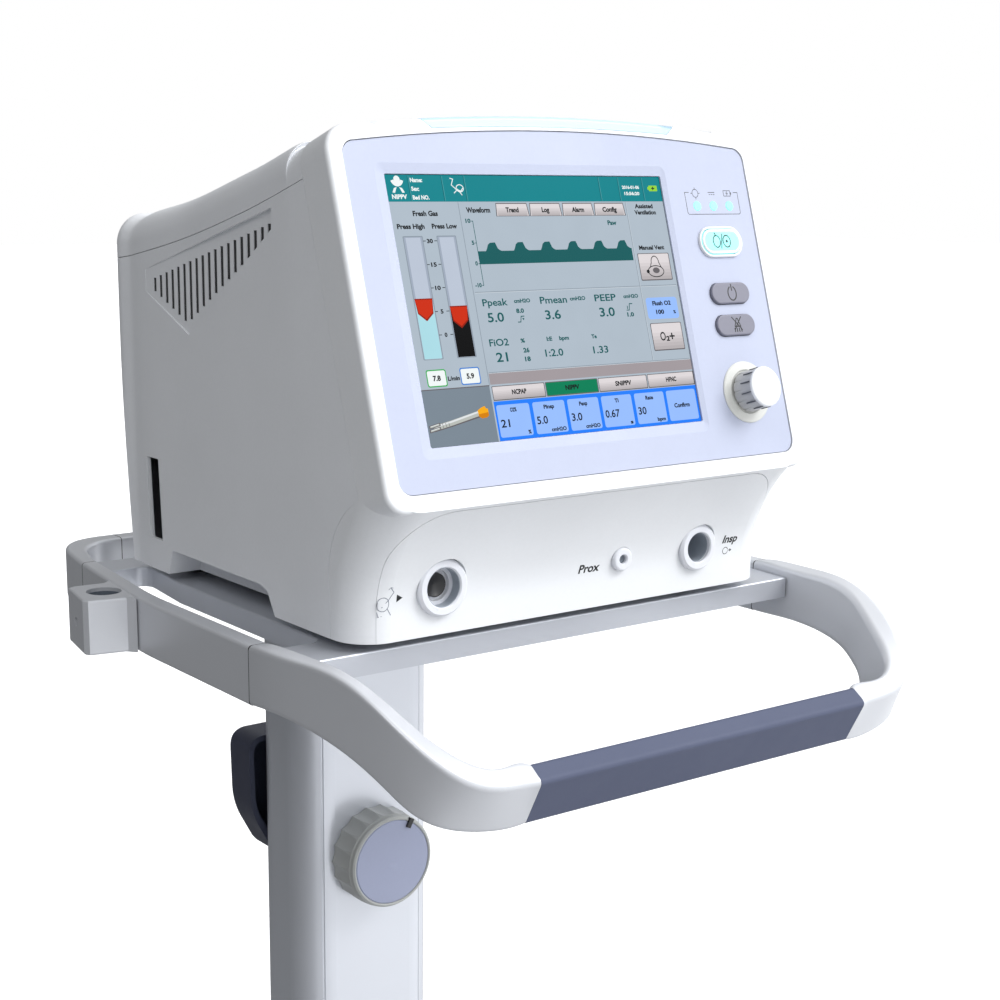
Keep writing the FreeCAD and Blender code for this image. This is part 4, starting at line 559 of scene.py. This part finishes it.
def draw_header(s):
    """Teal bar along the top, with its pictograms, names, clock and battery."""
    s.rect("teal", 78, 57, 1555, 168)
    for x in (194, 360, 473, 1199, 1310, 1450):
        s.line("seam", [(x + 2, 62), (x + 2, 164)], 3, 2)
        s.line("seam_dark", [(x - 2, 62), (x - 2, 164)], 3, 2)
    s.disc("white", 138, 76, 15, 15, 2)
    s.arc("white", 138, 70, 25, 28, 15, 20, 160, 2)
    for side in (-1, 1):
        s.face("white", [(138 + side * 6, 108), (138 + side * 20, 112), (138 + side * 30, 130),
                         (138 + side * 18, 132)], 2)
    s.text("white", "NIPPV", 102, 175, 147, 18, 2)
    for string, x1, y in (("Name:", 262, 78), ("Sex:", 240, 114), ("Bed NO.", 284, 150)):
        s.text("white", string, 202, x1, y, 17, 2)
    s.line("white", [(402, 70), (416, 74), (404, 98), (424, 116), (448, 124), (458, 112)], 4, 2)
    s.arc("white", 444, 112, 18, 15, 4, 0, 360, 2)
    s.line("white", [(412, 132), (432, 116), (450, 140)], 4, 2)
    s.text("white", "2016-01-06", 1328, 1428, 104, 14, 2)
    s.text("white", "15:56:20", 1336, 1424, 132, 14, 2)
    s.rect("lime", 1484, 96, 1534, 122, 2, 4)
    s.rect("lime", 1477, 103, 1484, 115, 2)
    s.face("ink", [(1514, 99), (1496, 111), (1507, 111), (1503, 119), (1522, 107), (1511, 107)], 3)


def draw_gauges(s):
    """Two fresh-gas tubes with their floats, scale and readings."""
    s.text("ink", "Fresh Gas", 188, 311, 216, 21, 2)
    s.text("ink", "Press High", 101, 235, 269, 20, 2)
    s.text("ink", "Press Low", 271, 397, 269, 20, 2)
    for x0, x1, top, fill in GAUGE:
        s.rect("groove", x0 - 3, 309, x1 + 3, 815, 2, 4)
        s.rect("tube_side", x0 + 1, 313, x1 - 1, 812, 2.4, 4)
        s.rect("tube_face", x0 + 10, 316, x1 - 10, 812, 3)
        s.rect(fill, x0 + 3, top, x1 - 3, 811, 4)
        middle = (x0 + x1) / 2
        s.face("red_dark", [(x0 + 2, top), (x1 - 2, top), (x1 - 8, top + 62), (middle, top + 93),
                            (x0 + 8, top + 62)], 5)
        s.face("red", [(x0 + 4, top + 5), (x1 - 4, top + 5), (x1 - 12, top + 58), (middle, top + 84),
                       (x0 + 12, top + 58)], 6)
    for string, y, half in (("30", 330, 15), ("15", 427, 14), ("10", 523, 14), ("5", 620, 7), ("0", 716, 7)):
        s.text("ink", string, 249 - half, 249 + half, y, 17, 2)
        s.line("ink", [(216, y), (228, y)], 3, 2)
        s.line("ink", [(272, y), (284, y)], 3, 2)
    for x0, x1, edge, string in ((118, 216, "leaf", "7.8"), (284, 384, "rim", "5.9")):
        s.rect(edge, x0, 855, x1, 926, 2, 10)
        s.rect("white", x0 + 5, 860, x1 - 5, 921, 3, 7)
        s.text("ink", string, (x0 + x1) / 2 - 19, (x0 + x1) / 2 + 19, 890, 21, 4)
    s.text("ink", "L/min", 221, 280, 895, 17, 2)


def draw_tube(s):
    """Drawing of the tube and its connector at the lower left."""
    s.rect("slate", 78, 937, 420, 1168)
    s.line("shadow", [(78, 936), (420, 936)], 4, 2)
    s.line("shadow", [(120, 1092), (200, 1078), (345, 1050)], 26, 1.6)
    s.line("steel", [(120, 1090), (200, 1076), (345, 1046)], 21, 2)
    s.line("cream", [(122, 1085), (200, 1071), (344, 1040)], 7, 3)
    for y in (1086, 1102):
        s.line("shadow", [(94, y), (142, y - 9)], 13, 3.4)
        s.line("steel", [(97, y - 1), (139, y - 9)], 7, 4)
        s.line("cream", [(99, y - 3), (136, y - 10)], 2.5, 5)
    for x in (156, 172, 188):
        s.line("shadow", [(x, 1074), (x + 3, 1092)], 2, 5)
    s.face("amber", [(340, 1034), (358, 1024), (378, 1018), (384, 1028), (393, 1030), (394, 1058), (382, 1066),
                     (356, 1068), (342, 1058)], 4)
    s.face("amber_low", [(342, 1050), (393, 1044), (394, 1058), (382, 1066), (356, 1068), (342, 1058)], 5)


def draw_tabs(s):
    """Page tabs over the trace."""
    s.text("ink", "Waveform", 457, 580, 203, 22, 2)
    for x0, x1, string in ((608, 784, "Trend"), (787, 962, "Log"), (966, 1142, "Alarm"), (1145, 1322, "Config")):
        s.face("shadow", [(x0, 231), (x0 + 6, 174), (x1 - 6, 174), (x1 + 1, 231)], 2)
        s.face("tab", [(x0 + 5, 229), (x0 + 9, 178), (x1 - 9, 178), (x1 - 4, 229)], 3)
        shaded(s, x0 + 9, 178, x1 - 9, 229, 3.6)
        half = 6.8 * len(string)
        s.text("ink", string, (x0 + x1) / 2 - half, (x0 + x1) / 2 + half, 203, 21, 5)


def draw_wave(s):
    """Airway-pressure trace and its axis."""
    s.line("sea", [(481, 250), (481, 520)], 3, 2)
    for string, x0, y in (("10", 444, 248), ("5", 457, 340), ("0", 457, 427), ("-10", 438, 518)):
        s.text("sea", string, x0, 470, y, 17, 2)
        s.line("sea", [(474, y + 2), (481, y + 2)], 3, 2)
    s.text("sea", "Paw", 1209, 1260, 262, 20, 2)
    s.rect("sea", 481, 377, 1322, 432, 2)
    for start in (530, 676, 820, 964, 1109, 1243):
        rise = [(start - 8, 378), (start, 366), (start + 8, 350), (start + 20, 342), (start + 46, 341),
                (start + 50, 350), (start + 56, 366), (start + 66, 374), (start + 78, 378)]
        s.face("sea", rise, 3)


READINGS = (
    ("Ppeak", 458, 588, 592, 29), ("cmH2O", 622, 708, 590, 16), ("5.0", 472, 556, 655, 38),
    ("8.0", 625, 666, 632, 18), ("Pmean", 760, 906, 592, 29), ("cmH2O", 923, 1009, 590, 16),
    ("3.6", 775, 859, 655, 38), ("PEEP", 1060, 1181, 592, 29), ("cmH2O", 1225, 1311, 590, 16),
    ("3.0", 1075, 1161, 655, 38), ("1.0", 1230, 1269, 671, 18), ("FiO2", 458, 558, 760, 29),
    ("%", 621, 644, 758, 17), ("21", 481, 541, 822, 38), ("26", 627, 659, 799, 19), ("18", 628, 658, 836, 19),
    ("I:E", 760, 790, 757, 17), ("bpm", 828, 881, 757, 17), ("1:2.0", 740, 837, 817, 30),
    ("Te", 1006, 1035, 758, 17), ("1.33", 1003, 1087, 817, 30),
)


def draw_readings(s):
    """Measured values, and the lines that divide the screen."""
    for string, x0, x1, y, tall in READINGS:
        s.text("sea", string, x0, x1, y, tall, 2)
    s.line("sea", [(626, 680), (640, 680), (646, 656), (662, 656)], 4, 2)
    s.face("sea", [(650, 664), (662, 664), (656, 674)], 2)
    s.line("sea", [(1232, 652), (1246, 652), (1252, 624), (1268, 624)], 4, 2)
    s.line("sea", [(1238, 634), (1238, 646)], 4, 2)
    for y, x1 in ((548, 1548), (883, 1548)):
        s.line("groove", [(430, y), (x1, y)], 3, 2)
        s.line("ridge", [(430, y + 3), (x1, y + 3)], 2, 2)
    s.line("groove", [(1332, 172), (1332, 880)], 3, 3)
    s.line("ridge", [(1335, 172), (1335, 880)], 2, 3)
    s.line("groove", [(422, 172), (422, 932)], 3, 3)


def shaded(s, x0, y0, x1, y1, lift):
    """Bands that darken a key towards its lower edge."""
    for i in range(1, 6):
        s.rect(f"tab_{i}", x0, y0 + (y1 - y0) * (0.22 + 0.13 * i), x1, y1, lift + 0.15 * i, 4)


def soft_key(s, x0, y0, x1, y1):
    """Raised key on the screen."""
    s.rect("shadow", x0 - 2, y0 - 1, x1 + 2, y1 + 3, 3, 6)
    s.rect("tab", x0 + 2, y0 + 2, x1 - 2, y1 - 2, 4, 5)
    shaded(s, x0 + 2, y0 + 2, x1 - 2, y1 - 2, 4)


def draw_right(s):
    """Column of keys at the right of the screen."""
    s.text("ink", "Assisted", 1383, 1489, 189, 19, 2)
    s.text("ink", "Ventilation", 1376, 1502, 217, 19, 2)
    s.text("ink", "Manual Vent", 1366, 1515, 376, 19, 2)
    soft_key(s, 1350, 403, 1532, 522)
    s.arc("ink", 1442, 484, 46, 25, 4, 0, 360, 6)
    s.arc("ink", 1444, 444, 22, 28, 4, 180, 360, 6)
    s.line("ink", [(1422, 444), (1412, 466)], 4, 6)
    s.line("ink", [(1466, 444), (1476, 466)], 4, 6)
    s.disc("shadow", 1444, 480, 20, 13, 6)
    s.disc("ink", 1395, 484, 9, 8, 6)
    s.rect("sky", 1350, 602, 1533, 698, 3, 14)
    s.text("ink", "Flush O2", 1386, 1495, 627, 19, 4)
    s.text("ink", "100", 1400, 1447, 666, 19, 4)
    s.text("ink", "%", 1502, 1517, 669, 14, 4)
    soft_key(s, 1353, 717, 1533, 837)
    s.text("ink", "O", 1399, 1431, 776, 38, 6)
    s.text("ink", "2", 1433, 1453, 787, 21, 6)
    s.text("ink", "+", 1453, 1484, 778, 40, 6)


MODES = ((430, 706, "NCPAP", "tab"), (710, 996, "NIPPV", "leaf_dark"), (1000, 1277, "SNIPPV", "tab"),
         (1281, 1555, "HFNC", "tab"))
SETTINGS = ((436, 606, "O2%", "21", "%"), (624, 794, "Pinsp", "5.0", "cmH2O"), (811, 981, "Pexp", "3.0", "cmH2O"),
            (998, 1168, "Ti", "0.67", "s"), (1186, 1357, "Rate", "30", "bpm"))


def draw_settings(s):
    """Mode tabs and settings along the foot of the screen."""
    s.rect("taupe", 427, 886, 1555, 933, 2)
    for x0, x1, string, fill in MODES:
        s.rect("shadow", x0, 940, x1, 1001, 2, 4)
        s.rect(fill, x0 + 3, 943, x1 - 4, 997, 3, 4)
        if fill == "tab":
            shaded(s, x0 + 3, 943, x1 - 4, 997, 3.6)
        half = 7.6 * len(string)
        s.text("ink", string, (x0 + x1) / 2 - half, (x0 + x1) / 2 + half, 969, 20, 5)
    s.rect("azure", 427, 1004, 1555, 1168, 2)
    for x0, x1, title, value, unit in SETTINGS:
        s.rect("sky", x0, 1020, x1, 1155, 3, 10)
        half = 5.6 * len(title)
        s.text("ink", title, (x0 + x1) / 2 - half, (x0 + x1) / 2 + half, 1042, 17, 4)
        s.text("ink", value, x0 + 11, x0 + 11 + 23 * len(value) - 12 * ("." in value), 1097, 32, 4)
        s.text("ink", unit, x1 - 10 - 16 * len(unit), x1 - 10, 1140, 16, 4)
    s.rect("sky", 1373, 1020, 1545, 1155, 3, 10)
    s.text("ink", "Confirm", 1410, 1502, 1087, 19, 4)


def make_display():
    """Everything that the screen shows, laid just over its glass."""
    low, high = extent("touch_screen")
    left, right, bottom, top = low[0] + 2, high[0] - 2, low[1] + 2, high[1] - 2
    x0, y0, x1, y1 = DRAWN

    def place(x, y, lift):
        u = left + (x - x0) / (x1 - x0) * (right - left)
        v = top - (y - y0) / (y1 - y0) * (top - bottom)
        return panel(u, v, high[2] + 0.02 + 0.02 * lift)

    s = Sheet("screen", place)
    s.rect("grey", x0, 168, x1, y1, 0)
    for draw in (draw_header, draw_gauges, draw_tube, draw_tabs, draw_wave, draw_readings, draw_right,
                 draw_settings):
        draw(s)
    s.build()


# ---------------- controls
def pill_ring(name, node, material, inner, outer, low, high, body="frame"):
    """Raised ring round a slot-shaped key."""
    a, b = extent(node)
    cu, cv = (a[0] + b[0]) / 2, (a[1] + b[1]) / 2
    half_u, half_v = (b[0] - a[0]) / 2, (b[1] - a[1]) / 2
    soft = 0.35
    profile = [(inner, low), (inner, high - soft), (inner + soft, high), (outer - soft, high), (outer, high - soft),
               (outer, low)]
    rings = []
    for grow, w in profile:
        hu, hv = half_u + grow, half_v + grow
        rings.append([panel(u, v, w) for u, v in slot_outline(cu, cv, hu, hv, hv - 0.01, 12)])
    count = len(rings[0])
    verts = [spot for ring in rings for spot in ring]
    faces = []
    for i in range(len(rings) - 1):
        for k in range(count):
            j = (k + 1) % count
            faces.append((i * count + k, i * count + j, (i + 1) * count + j, (i + 1) * count + k))
    piece(name, verts, faces, material, body, True)


def mark_keys():
    """Symbols of the three keys; each goes with its key."""
    for key in ("start_button", "power_button", "mute_button"):
        a, b = extent(key)
        cu, cv = (a[0] + b[0]) / 2, (a[1] + b[1]) / 2

        def place(x, y, lift, cu=cu, cv=cv, w=b[2]):
            return panel(cu + x, cv + y, w + 0.03 * lift)

        s = Sheet(key + "_symbol", place, key)
        if key == "start_button":
            s.arc("deep", -4.6, 0, 3.1, 3.9, 0.9, 100, 440)
            s.line("deep", [(-5.8, 5.6), (-4.6, 3.6)], 1.0)
            s.line("deep", [(-1.2, -4.6), (0.9, 4.8)], 0.9)
            s.arc("deep", 4.3, 0, 3.2, 3.9, 0.9)
            s.disc("deep", 4.3, 0, 1.0, 1.1)
        if key == "power_button":
            s.arc("mark", 0.8, -0.3, 3.6, 4.6, 0.95, 112, 428)
            s.line("mark", [(0.6, 5.6), (0.8, 1.6)], 0.95)
        if key == "mute_button":
            s.line("mark", [(-1.8, -1.2), (0.3, 4.0), (1.3, 4.0), (3.4, -1.2), (-1.8, -1.2)], 0.75)
            s.line("mark", [(-3.6, 5.0), (4.4, -3.6)], 0.8)
            s.line("mark", [(4.6, 5.0), (-2.2, -3.2)], 0.8)
            for x in (-2.2, -0.3, 1.7, 3.6):
                s.line("mark", [(x, -2.4), (x + 0.1, -4.6)], 0.9)
        s.build()


def mark_lamps():
    """Bracket round the status lamps, and the symbols over them."""
    low, high = extent("status_lamps")
    face = extent("bezel_panel")[1][2]
    cu, cv = (low[0] + high[0]) / 2, (low[1] + high[1]) / 2
    s = Sheet("lamp_marks", lambda x, y, lift: panel(cu + x, cv + y, face + 0.02 * lift))
    s.line("mark", [(-20.0, 9.0), (-23.6, 9.0), (-23.6, -4.4), (-22.6, -5.4), (22.6, -5.4), (23.6, -4.4), (23.6, 9.0),
                    (20.0, 9.0)], 0.4)
    s.arc("mark", -14.4, 8.4, 2.6, 2.6, 0.4)
    for turn in (0, 90, 180, 270):
        a = math.radians(turn)
        s.line("mark", [(-14.4 + 2.6 * math.cos(a), 8.4 + 2.6 * math.sin(a)),
                        (-14.4 + 3.9 * math.cos(a), 8.4 + 3.9 * math.sin(a))], 0.4)
    s.line("mark", [(-2.8, 9.0), (2.8, 9.0)], 0.45)
    for x in (-2.2, -0.3, 1.6):
        s.line("mark", [(x, 7.6), (x + 1.0, 7.6)], 0.45)
    s.line("mark", [(11.0, 10.2), (17.0, 10.2), (17.0, 6.6), (11.0, 6.6), (11.0, 10.2)], 0.4)
    s.rect("mark", 17.0, 7.6, 17.9, 9.2)
    s.line("mark", [(14.4, 9.6), (13.2, 8.4), (14.8, 8.4), (13.6, 7.2)], 0.4)
    s.build()


def lathe(name, place, axis, profile, material, body, count=64):
    """Turned piece: profile gives radius and height along the axis, in millimetres."""
    turn = axis.to_track_quat("Z", "Y")
    verts, faces = [], []
    for r, h in profile:
        for k in range(count):
            a = math.tau * k / count
            verts.append(place + turn @ Vector((r * math.cos(a), r * math.sin(a), h)) * MM)
    for i in range(len(profile) - 1):
        for k in range(count):
            j = (k + 1) % count
            faces.append((i * count + k, i * count + j, (i + 1) * count + j, (i + 1) * count + k))
    faces.append(tuple(range(count))[::-1])
    faces.append(tuple(range((len(profile) - 1) * count, len(profile) * count)))
    return piece(name, verts, faces, material, body, True)


GROOVES = 12                                 # grip grooves round the encoder knob, each drawn as a dark strip of painted shade
GROOVE_HALF, GROOVE_PROUD = 0.35, 0.06       # half width, and height over the knob's side
BLOCK_FACES = ((1, 3, 7, 5), (0, 4, 6, 2), (0, 1, 5, 4), (2, 6, 7, 3), (0, 2, 3, 1), (4, 5, 7, 6))


def make_groove_shade(cu, cv, r, top, bottom):
    """Painted shade of the grooves down the upper part of the encoder knob's side: dark strips that stand a hair
    proud.
    """
    verts, faces = [], []
    for k in range(GROOVES):
        a = math.tau * (k + 0.35) / GROOVES
        for w in (top - 2.0, top - 0.62 * (top - bottom)):
            for side in (-GROOVE_HALF, GROOVE_HALF):
                for out in (r - 0.5, r + GROOVE_PROUD):
                    u = cu + out * math.cos(a) - side * math.sin(a)
                    v = cv + out * math.sin(a) + side * math.cos(a)
                    verts.append(panel(u, v, w))
        faces += [tuple(8 * k + i for i in quad) for quad in BLOCK_FACES]
    # dark strips of painted shade in the grooves, in the fork grey
    piece("encoder_groove_shade", verts, faces, FORK, "encoder_turn")


def make_controls():
    """Rings, gaskets, symbols and caps of the keys, lamps and encoder."""
    face = extent("bezel_panel")[1][2]
    top = extent("start_button")[1][2]
    pill_ring("start_ring", "start_button", WHITE, 0.5, 2.0, face, face + 1.7)
    pill_ring("start_rim", "start_button", WHITE, -1.9, -0.05, top - 0.6, top + 0.25, "start_button")
    for key in ("power_button", "mute_button"):
        pill_ring(key + "_gasket", key, BLACK, 0.02, 0.34, face - 1.6, face - 0.15)
    mark_keys()
    mark_lamps()
    low, high = extent("encoder_knob")
    cu, cv = (low[0] + high[0]) / 2, (low[1] + high[1]) / 2
    top, r = high[2], (high[0] - low[0]) / 2
    lathe("encoder_cap", panel(cu, cv, top), OUT, [
        (r - 0.95, -1.9), (r - 0.45, -1.75), (r - 0.3, -1.2), (r - 0.35, -0.5), (r - 0.75, 0.05), (r - 1.5, 0.3),
        (r - 4.0, 0.55), (r - 8.0, 0.75), (0.6, 0.85)], WHITE, "encoder_turn")
    make_groove_shade(cu, cv, r, top, low[2])


# ---------------- marks on the lower front
def mark_front():
    """Names and symbols beside the patient connections, laid on the hollow of the lower front."""
    tree = tree_of("port_fascia")

    def place(x, z, lift):
        hit = tree.ray_cast(Vector((x * MM, -1.0, z * MM)), Vector((0, 1, 0)))[0]
        return (hit or Vector((x * MM, -0.15, z * MM))) - Vector((0, 0.00003 * lift, 0))

    s = Sheet("front_marks", place)
    low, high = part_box("prox_port")
    x, z = low[0] / MM - 26.4, (low[2] + high[2]) / 2 / MM
    s.text("mark", "Prox", x, x + 17.0, z - 2.8, 5.4, 1, 1.0, 0.2)
    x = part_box("insp_port")[1][0] / MM + 8.6
    s.text("mark", "Insp", x, x + 13.2, z + 2.4, 5.4, 1, 1.0, 0.2)
    s.arc("mark", x + 3.4, z - 5.9, 2.3, 2.3, 0.45, 20, 340)
    s.line("mark", [(x + 5.7, z - 5.9), (x + 8.0, z - 5.9)], 0.45)
    s.face("mark", [(x + 7.4, z - 4.8), (x + 9.2, z - 5.9), (x + 7.4, z - 7.0)])
    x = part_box("patient_port")[0][0] / MM - 14.2
    s.face("mark", [(x, z - 0.4), (x + 4.2, z - 2.8), (x, z - 5.2)])
    s.arc("soft_mark", x - 9.0, z - 5.6, 3.8, 4.2, 0.45)
    s.line("soft_mark", [(x - 5.0, z + 4.6), (x - 2.4, z + 1.4), (x - 5.8, z - 3.4), (x - 9.6, z - 7.4)], 0.5)
    s.line("soft_mark", [(x - 6.2, z + 3.4), (x - 5.0, z + 4.6), (x - 3.4, z + 4.2)], 0.4)
    s.line("soft_mark", [(x - 13.4, z - 9.6), (x - 11.8, z - 13.0), (x - 9.8, z - 12.6)], 0.5)
    s.line("soft_mark", [(x - 6.2, z - 8.2), (x - 3.8, z - 12.4)], 0.5)
    s.build()


# ---------------- fittings of the trolley
def joint_line(name, y, x0, x1, z0, z1, turn=0.0, body="frame"):
    """Dark hairline where two lengths of the ring meet: a thin slip that stands a little proud."""
    cx, cz = (x0 + x1) / 2, (z0 + z1) / 2
    outline = slot_outline(0, 0, abs(x1 - x0) / 2 + 0.00006, (z1 - z0) / 2 + 0.00006, 0.0024, 5)
    spin = Matrix.Rotation(turn, 3, "Z")
    verts = [Vector((cx, y, cz)) + spin @ Vector((a, d, b)) for d in (-0.0003, 0.0003) for a, b in outline]
    count = len(outline)
    faces = [tuple(range(count)), tuple(range(count, 2 * count))[::-1]]
    faces += [(k, (k + 1) % count, count + (k + 1) % count, count + k) for k in range(count)]
    piece(name, verts, faces, BLACK, body)


def make_joint_lines():
    """Fine dark lines where the trolley's frame pieces meet."""
    for side in ("left", "right"):
        low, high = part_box(side + "_rail")
        sign = -1 if side == "left" else 1
        outer = max(abs(low[0]), abs(high[0]))
        joint_line(side + "_front_joint", low[1], sign * (outer - 0.0137), sign * outer, low[2], high[2])
        inner = min(abs(low[0]), abs(high[0]))
        joint_line(side + "_rear_joint", high[1], sign * inner, sign * (inner + 0.0115), low[2], high[2])
    low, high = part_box("rear_bar")
    for sign, side in ((-1, "left"), (1, "right")):
        slip = slot_outline((low[1] + high[1]) / 2, (low[2] + high[2]) / 2, (high[1] - low[1]) / 2 + 0.00006,
                            (high[2] - low[2]) / 2 + 0.00006, 0.0026, 5)
        x = high[0] if sign > 0 else low[0]
        verts = [Vector((x + d, a, b)) for d in (-0.0003, 0.0003) for a, b in slip]
        count = len(slip)
        faces = [tuple(range(count)), tuple(range(count, 2 * count))[::-1]]
        faces += [(k, (k + 1) % count, count + (k + 1) % count, count + k) for k in range(count)]
        piece(side + "_bar_joint", verts, faces, BLACK, "frame")


def box_piece(name, centre, half, material, body, soft=0.0006, spin=None):
    """Small block with eased edges."""
    bm = bmesh.new()
    bmesh.ops.create_cube(bm, size=2.0)
    bmesh.ops.scale(bm, vec=half, verts=bm.verts)
    bmesh.ops.bevel(bm, geom=list(bm.edges), offset=soft, segments=3, affect="EDGES", profile=0.5)
    turn = spin or Matrix.Identity(3)
    verts = [Vector(centre) + turn @ v.co for v in bm.verts]
    faces = [tuple(v.index for v in f.verts) for f in bm.faces]
    bm.free()
    return piece(name, verts, faces, material, body)


def make_knob_mark():
    """Index mark let into the rim of the clamp knob's disc."""
    low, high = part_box("knob_disc")
    centre = Vector(((low[0] + high[0]) / 2, low[1] + 0.0008, (low[2] + high[2]) / 2))
    way = math.radians(62)
    r = (high[0] - low[0]) / 2 - 0.0006
    spot = centre + Vector((r * math.cos(way), -0.0006, r * math.sin(way)))
    box_piece("clamp_index", spot, (0.0019, 0.0014, 0.0038), BLACK, "clamp_knob", 0.0003,
              Matrix.Rotation(math.pi / 2 - way, 3, "Y"))


def sleeve(name, place, axis, outer, inner, start, end, material, body="frame"):
    """Thin tube in a bore; start and end are depths along the axis, in millimetres."""
    turn = axis.to_track_quat("Z", "Y")
    count, verts, faces = 48, [], []
    for r, h in ((outer, start), (inner, start), (inner, end), (outer, end)):
        for k in range(count):
            a = math.tau * k / count
            verts.append(place + turn @ Vector((r * math.cos(a), r * math.sin(a), h)) * MM)
    for i in range(4):
        for k in range(count):
            j, n = (k + 1) % count, (i + 1) % 4
            faces.append((n * count + k, n * count + j, i * count + j, i * count + k))
    return piece(name, verts, faces, material, body)


def middle(node, axis):
    """Centre of a node's box, moved to the box's low face along an axis."""
    low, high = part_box(node)
    spot = [(a + b) / 2 for a, b in zip(low, high)]
    spot[axis] = low[axis]
    return Vector(spot)


def make_bore_shade():
    """Painted shade inside the patient connections and the accessory socket: darker linings on the bores' walls and
    dark discs deep in them.
    """
    inward = Vector((0, 1, 0))
    mouth = middle("patient_port", 1)
    # lining and disc: painted shade on the bore's wall and far end
    sleeve("patient_port_shade_lining", mouth, inward, 12.05, 11.7, 1.2, 7.9, PORT_INNER_SHADE)
    lathe("patient_port_shade_disc", mouth, inward, [(7.4, 13.6), (7.4, 9.2), (7.0, 9.0), (6.6, 9.2), (0.4, 12.0)], BLACK,
          "frame", 48)
    mouth = middle("insp_port", 1)
    sleeve("insp_port_shade_lining", mouth, inward, 9.85, 9.55, 3.0, 26.0, PORT_INNER_SHADE)
    lathe("insp_port_shade_disc", mouth, inward, [(9.4, 26.0), (9.4, 21.0), (9.0, 20.8), (8.6, 21.2), (0.4, 22.4)], BORE_SHADE,
          "frame", 48)
    low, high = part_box("accessory_socket")
    tall = (high[2] - low[2]) / MM
    for mount in frame["record"]["mounts"]:
        if mount["name"] == "accessory_bore":
            x, y, _ = mount["pos_m"]
            # dark lining down the socket's bore: painted shade
            sleeve("socket_shade_lining", Vector((x, y, high[2])), Vector((0, 0, -1)), 11.45, 11.0, 2.4, tall - 2.4, BORE_SHADE)
    mouth = middle("prox_port", 1)
    lathe("prox_port_shade_disc", mouth, inward, [(2.75, 6.0), (2.75, 2.4), (2.4, 2.3), (0.2, 3.0)], BORE_SHADE, "frame", 24)


VENT_COUNT, VENT_STEP = 19, 8.45             # louvre slots of a side wall, and their spacing
VENT_FIRST, VENT_TURN = 248.5, 203.0         # the rearmost slot, and where the lower edge turns up
VENT_HALF = 1.95                             # half width of a dark block of painted shade in a slot
VENT_DEEP = (3.3, 7.6)                       # depths of a shade block's front and back under the wall
SHADE_BLOCK_FACES = ((0, 1, 3, 2), (4, 6, 7, 5), (0, 4, 5, 1), (2, 3, 7, 6), (0, 2, 6, 4), (1, 5, 7, 3))


def vent_ends(y):
    """Heights of a louvre slot's lower and upper end."""
    back = VENT_FIRST - y
    if y > VENT_TURN:
        return -1.0 - back * 0.40, 8.0 + back * 0.253
    return -19.2 + (VENT_TURN - y) * 0.55, 8.0 + back * 0.253


def make_vent_shade_blocks():
    """Painted shade in the louvres: one dark block stands up in each slot, under the wall where the slot's shade
    falls.
    """
    low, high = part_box("housing_shell")
    # the black blocks of each wall are painted shade in its louvre slots
    for side, wall in (("left", low[0]), ("right", high[0])):
        inner = 1 if side == "left" else -1
        verts, faces = [], []
        for i in range(VENT_COUNT):
            y = VENT_FIRST - i * VENT_STEP
            bottom, top = vent_ends(y)
            for deep in VENT_DEEP:
                for yy in (y - VENT_HALF, y + VENT_HALF):
                    for zz in (bottom + 0.1, top - 0.1):
                        verts.append(Vector((wall + inner * deep * MM, SCREEN.y + yy * MM, SCREEN.z + zz * MM)))
            faces += [tuple(8 * i + k for k in quad) for quad in SHADE_BLOCK_FACES]
        piece("vent_shade_" + side, verts, faces, BLACK, "frame")


def tube_ring(name, centre, axis, radius, thick, material, body, around=48, across=8):
    """Wire ring, in metres."""
    turn = axis.to_track_quat("Z", "Y")
    verts, faces = [], []
    for i in range(around):
        a = math.tau * i / around
        for k in range(across):
            b = math.tau * k / across
            r = radius + thick * math.cos(b)
            verts.append(centre + turn @ Vector((r * math.cos(a), r * math.sin(a), thick * math.sin(b))))
    for i in range(around):
        for k in range(across):
            n, m = (i + 1) % around, (k + 1) % across
            faces.append((i * across + k, n * across + k, n * across + m, i * across + m))
    return piece(name, verts, faces, material, body, True)


def rod(name, a, b, radius, material, body):
    """Straight wire between two points."""
    lathe(name, a, b - a, [(radius / MM - 0.1, 0), (radius / MM, 0.1), (radius / MM, (b - a).length / MM - 0.1),
                           (radius / MM - 0.1, (b - a).length / MM)], material, body, 12)


def make_fan_guard():
    """Finger guard of wire rings and spokes over the fan's opening."""
    low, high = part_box("fan_rotor")
    centre = Vector(((low[0] + high[0]) / 2, 0, (low[2] + high[2]) / 2))
    hit = tree_of("rear_panel").ray_cast(Vector((centre.x + 0.041, 1.0, centre.z)), Vector((0, -1, 0)))
    slope = hit[1] if hit[1].y > 0 else -hit[1]
    centre.y = hit[0].y + 0.0016
    for i, r in enumerate((0.009, 0.0165, 0.024, 0.0315, 0.039)):
        tube_ring(f"guard_ring_{i}", centre, slope, r, 0.0008, STEEL, "frame")
    turn = slope.to_track_quat("Z", "Y")
    for i in range(4):
        a = math.radians(45 + 90 * i)
        way = turn @ Vector((math.cos(a), math.sin(a), 0))
        rod(f"guard_spoke_{i}", centre + way * 0.008 + slope * 0.0008, centre + way * 0.043 + slope * 0.0004,
            0.0009, STEEL, "frame")


def make_caster_trim():
    """Hub rings on both sides of each wheel, turning with the wheel."""
    for tag in ("fl", "fr", "rl", "rr"):
        low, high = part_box("caster_wheel_" + tag)
        cy, cz = (low[1] + high[1]) / 2, (low[2] + high[2]) / 2
        for side in (-1, 1):
            x = (high[0] if side > 0 else low[0])
            lathe(f"hub_{tag}_{'out' if side > 0 else 'in'}", Vector((x - side * 0.0032, cy, cz)),
                  Vector((side, 0, 0)), [(15.0, 0), (15.0, 1.2), (13.8, 1.8), (11.6, 1.9), (10.8, 1.2), (10.8, 0)],
                  FORK, "wheel_" + tag)


# ---------------- all together
make_display()
make_controls()
mark_front()
make_joint_lines()
make_knob_mark()
make_fan_guard()
make_caster_trim()
make_bore_shade()
make_vent_shade_blocks()
